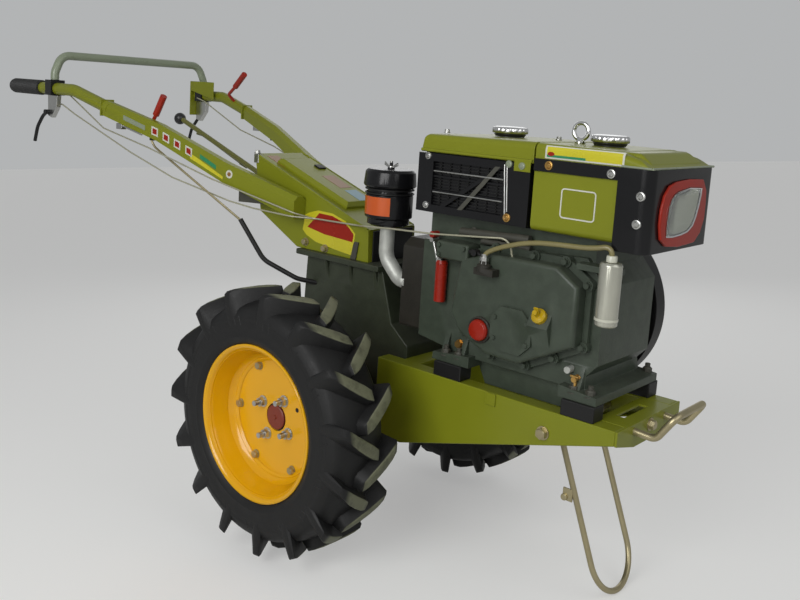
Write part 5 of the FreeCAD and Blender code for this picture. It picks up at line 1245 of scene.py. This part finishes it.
def seen_amount(tree, amount):
    """An amount for what the camera and glass see, a share of it for mirrors and none for the light on the object."""
    light = add_node(tree, "ShaderNodeLightPath")
    seen = add_node(tree, "ShaderNodeMath", operation="MULTIPLY_ADD")
    seen.inputs[1].default_value = MIRROR_SHARE
    either = add_node(tree, "ShaderNodeMath", operation="ADD", use_clamp=True)
    scaled = add_node(tree, "ShaderNodeMath", operation="MULTIPLY")
    scaled.inputs[1].default_value = amount
    tree.links.new(light.outputs["Is Glossy Ray"], seen.inputs[0])
    tree.links.new(light.outputs["Is Camera Ray"], seen.inputs[2])
    tree.links.new(seen.outputs[0], either.inputs[0])
    tree.links.new(light.outputs["Is Transmission Ray"], either.inputs[1])
    tree.links.new(either.outputs[0], scaled.inputs[0])
    return scaled.outputs[0]


class TRACTOR_OT_stage(bpy.types.Operator):
    """Pale floor, soft studio light and the camera"""
    bl_idname = "tractor.stage"
    bl_label = "Stage"

    def execute(self, context):
        scene = context.scene
        scene.view_settings.view_transform = "Standard"
        paint = bpy.data.materials.new("pale_floor")
        paint.use_nodes = True
        tree = paint.node_tree
        shader = tree.nodes["Principled BSDF"]
        shader.inputs["Base Color"].default_value = FLOOR_COLOR
        shader.inputs["Roughness"].default_value = 0.9
        shader.inputs["Emission Color"].default_value = (1, 1, 1, 1)
        tree.links.new(seen_amount(tree, FLOOR_GLOW), shader.inputs["Emission Strength"])
        bm = bmesh.new()
        bmesh.ops.create_circle(bm, cap_ends=True, segments=96, radius=60)
        mesh = bpy.data.meshes.new("floor")
        bm.to_mesh(mesh)
        bm.free()
        mesh.materials.append(paint)
        floor = bpy.data.objects.new("floor", mesh)
        scene.collection.objects.link(floor)
        world = bpy.data.worlds.new("studio")
        world.use_nodes = True
        tree = world.node_tree
        sky = tree.nodes["Background"]
        sky.inputs["Color"].default_value = (0.97, 0.99, 1, 1)
        sum_node = add_node(tree, "ShaderNodeMath", operation="ADD")
        sum_node.inputs[1].default_value = AIR_LIGHT
        tree.links.new(seen_amount(tree, AIR_GLOW - AIR_LIGHT), sum_node.inputs[0])
        tree.links.new(sum_node.outputs[0], sky.inputs["Strength"])
        scene.world = world
        for name, spot, power, size in LAMPS:
            lamp = bpy.data.lights.new(name, "AREA")
            lamp.energy = power
            lamp.size = size
            holder = bpy.data.objects.new(name, lamp)
            holder.location = spot
            holder.rotation_euler = (Vector((0, 0, 0.5)) - Vector(spot)).to_track_quat("-Z", "Y").to_euler()
            scene.collection.objects.link(holder)
        yaw, down, roll = (math.radians(angle) for angle in CAMERA_ANGLES)
        ahead = Vector((-math.sin(yaw) * math.cos(down), math.cos(yaw) * math.cos(down), -math.sin(down)))
        right = Vector((math.cos(yaw), math.sin(yaw), 0))
        up = right.cross(ahead)
        across, above = right * math.cos(roll) + up * math.sin(roll), up * math.cos(roll) - right * math.sin(roll)
        camera = bpy.data.cameras.new("camera")
        camera.sensor_width = 36
        camera.lens = CAMERA_LENS
        camera.shift_y = CAMERA_SHIFT
        view = bpy.data.objects.new("camera", camera)
        basis = Matrix((across, above, -ahead)).transposed().to_4x4()
        view.matrix_world = Matrix.Translation(AXLE + Vector(CAMERA_SPOT)) @ basis
        scene.collection.objects.link(view)
        scene.camera = view
        return {"FINISHED"}


STEPS = [
    TRACTOR_OT_paints, TRACTOR_OT_stage, TRACTOR_OT_wheels, TRACTOR_OT_frame, TRACTOR_OT_drive, TRACTOR_OT_engine,
    TRACTOR_OT_cooling, TRACTOR_OT_tank, TRACTOR_OT_intake, TRACTOR_OT_tool_box, TRACTOR_OT_handles,
]


class TRACTOR_PT_panel(bpy.types.Panel):
    """Lists the tractor's sizes, colours and operators"""
    bl_idname = "TRACTOR_PT_panel"
    bl_label = "Walking Tractor"
    bl_space_type = "VIEW_3D"
    bl_region_type = "UI"
    bl_category = "Tractor"

    def draw(self, context):
        for group in (context.scene.tractor_sizes, context.scene.tractor_colors):
            for name in group.bl_rna.properties.keys():
                if name not in ("rna_type", "name"):
                    self.layout.prop(group, name)
        for step in STEPS:
            self.layout.operator(step.bl_idname)


CLASSES = [TractorSizes, TractorColors, *STEPS, TRACTOR_PT_panel]


def register():
    for each in CLASSES:
        bpy.utils.register_class(each)
    bpy.types.Scene.tractor_sizes = PointerProperty(type=TractorSizes)
    bpy.types.Scene.tractor_colors = PointerProperty(type=TractorColors)


def unregister():
    del bpy.types.Scene.tractor_sizes
    del bpy.types.Scene.tractor_colors
    for each in reversed(CLASSES):
        bpy.utils.unregister_class(each)


def main():
    register()
    for step in STEPS:
        family, name = step.bl_idname.split(".")
        getattr(getattr(bpy.ops, family), name)()


if __name__ == "__main__":
    main()
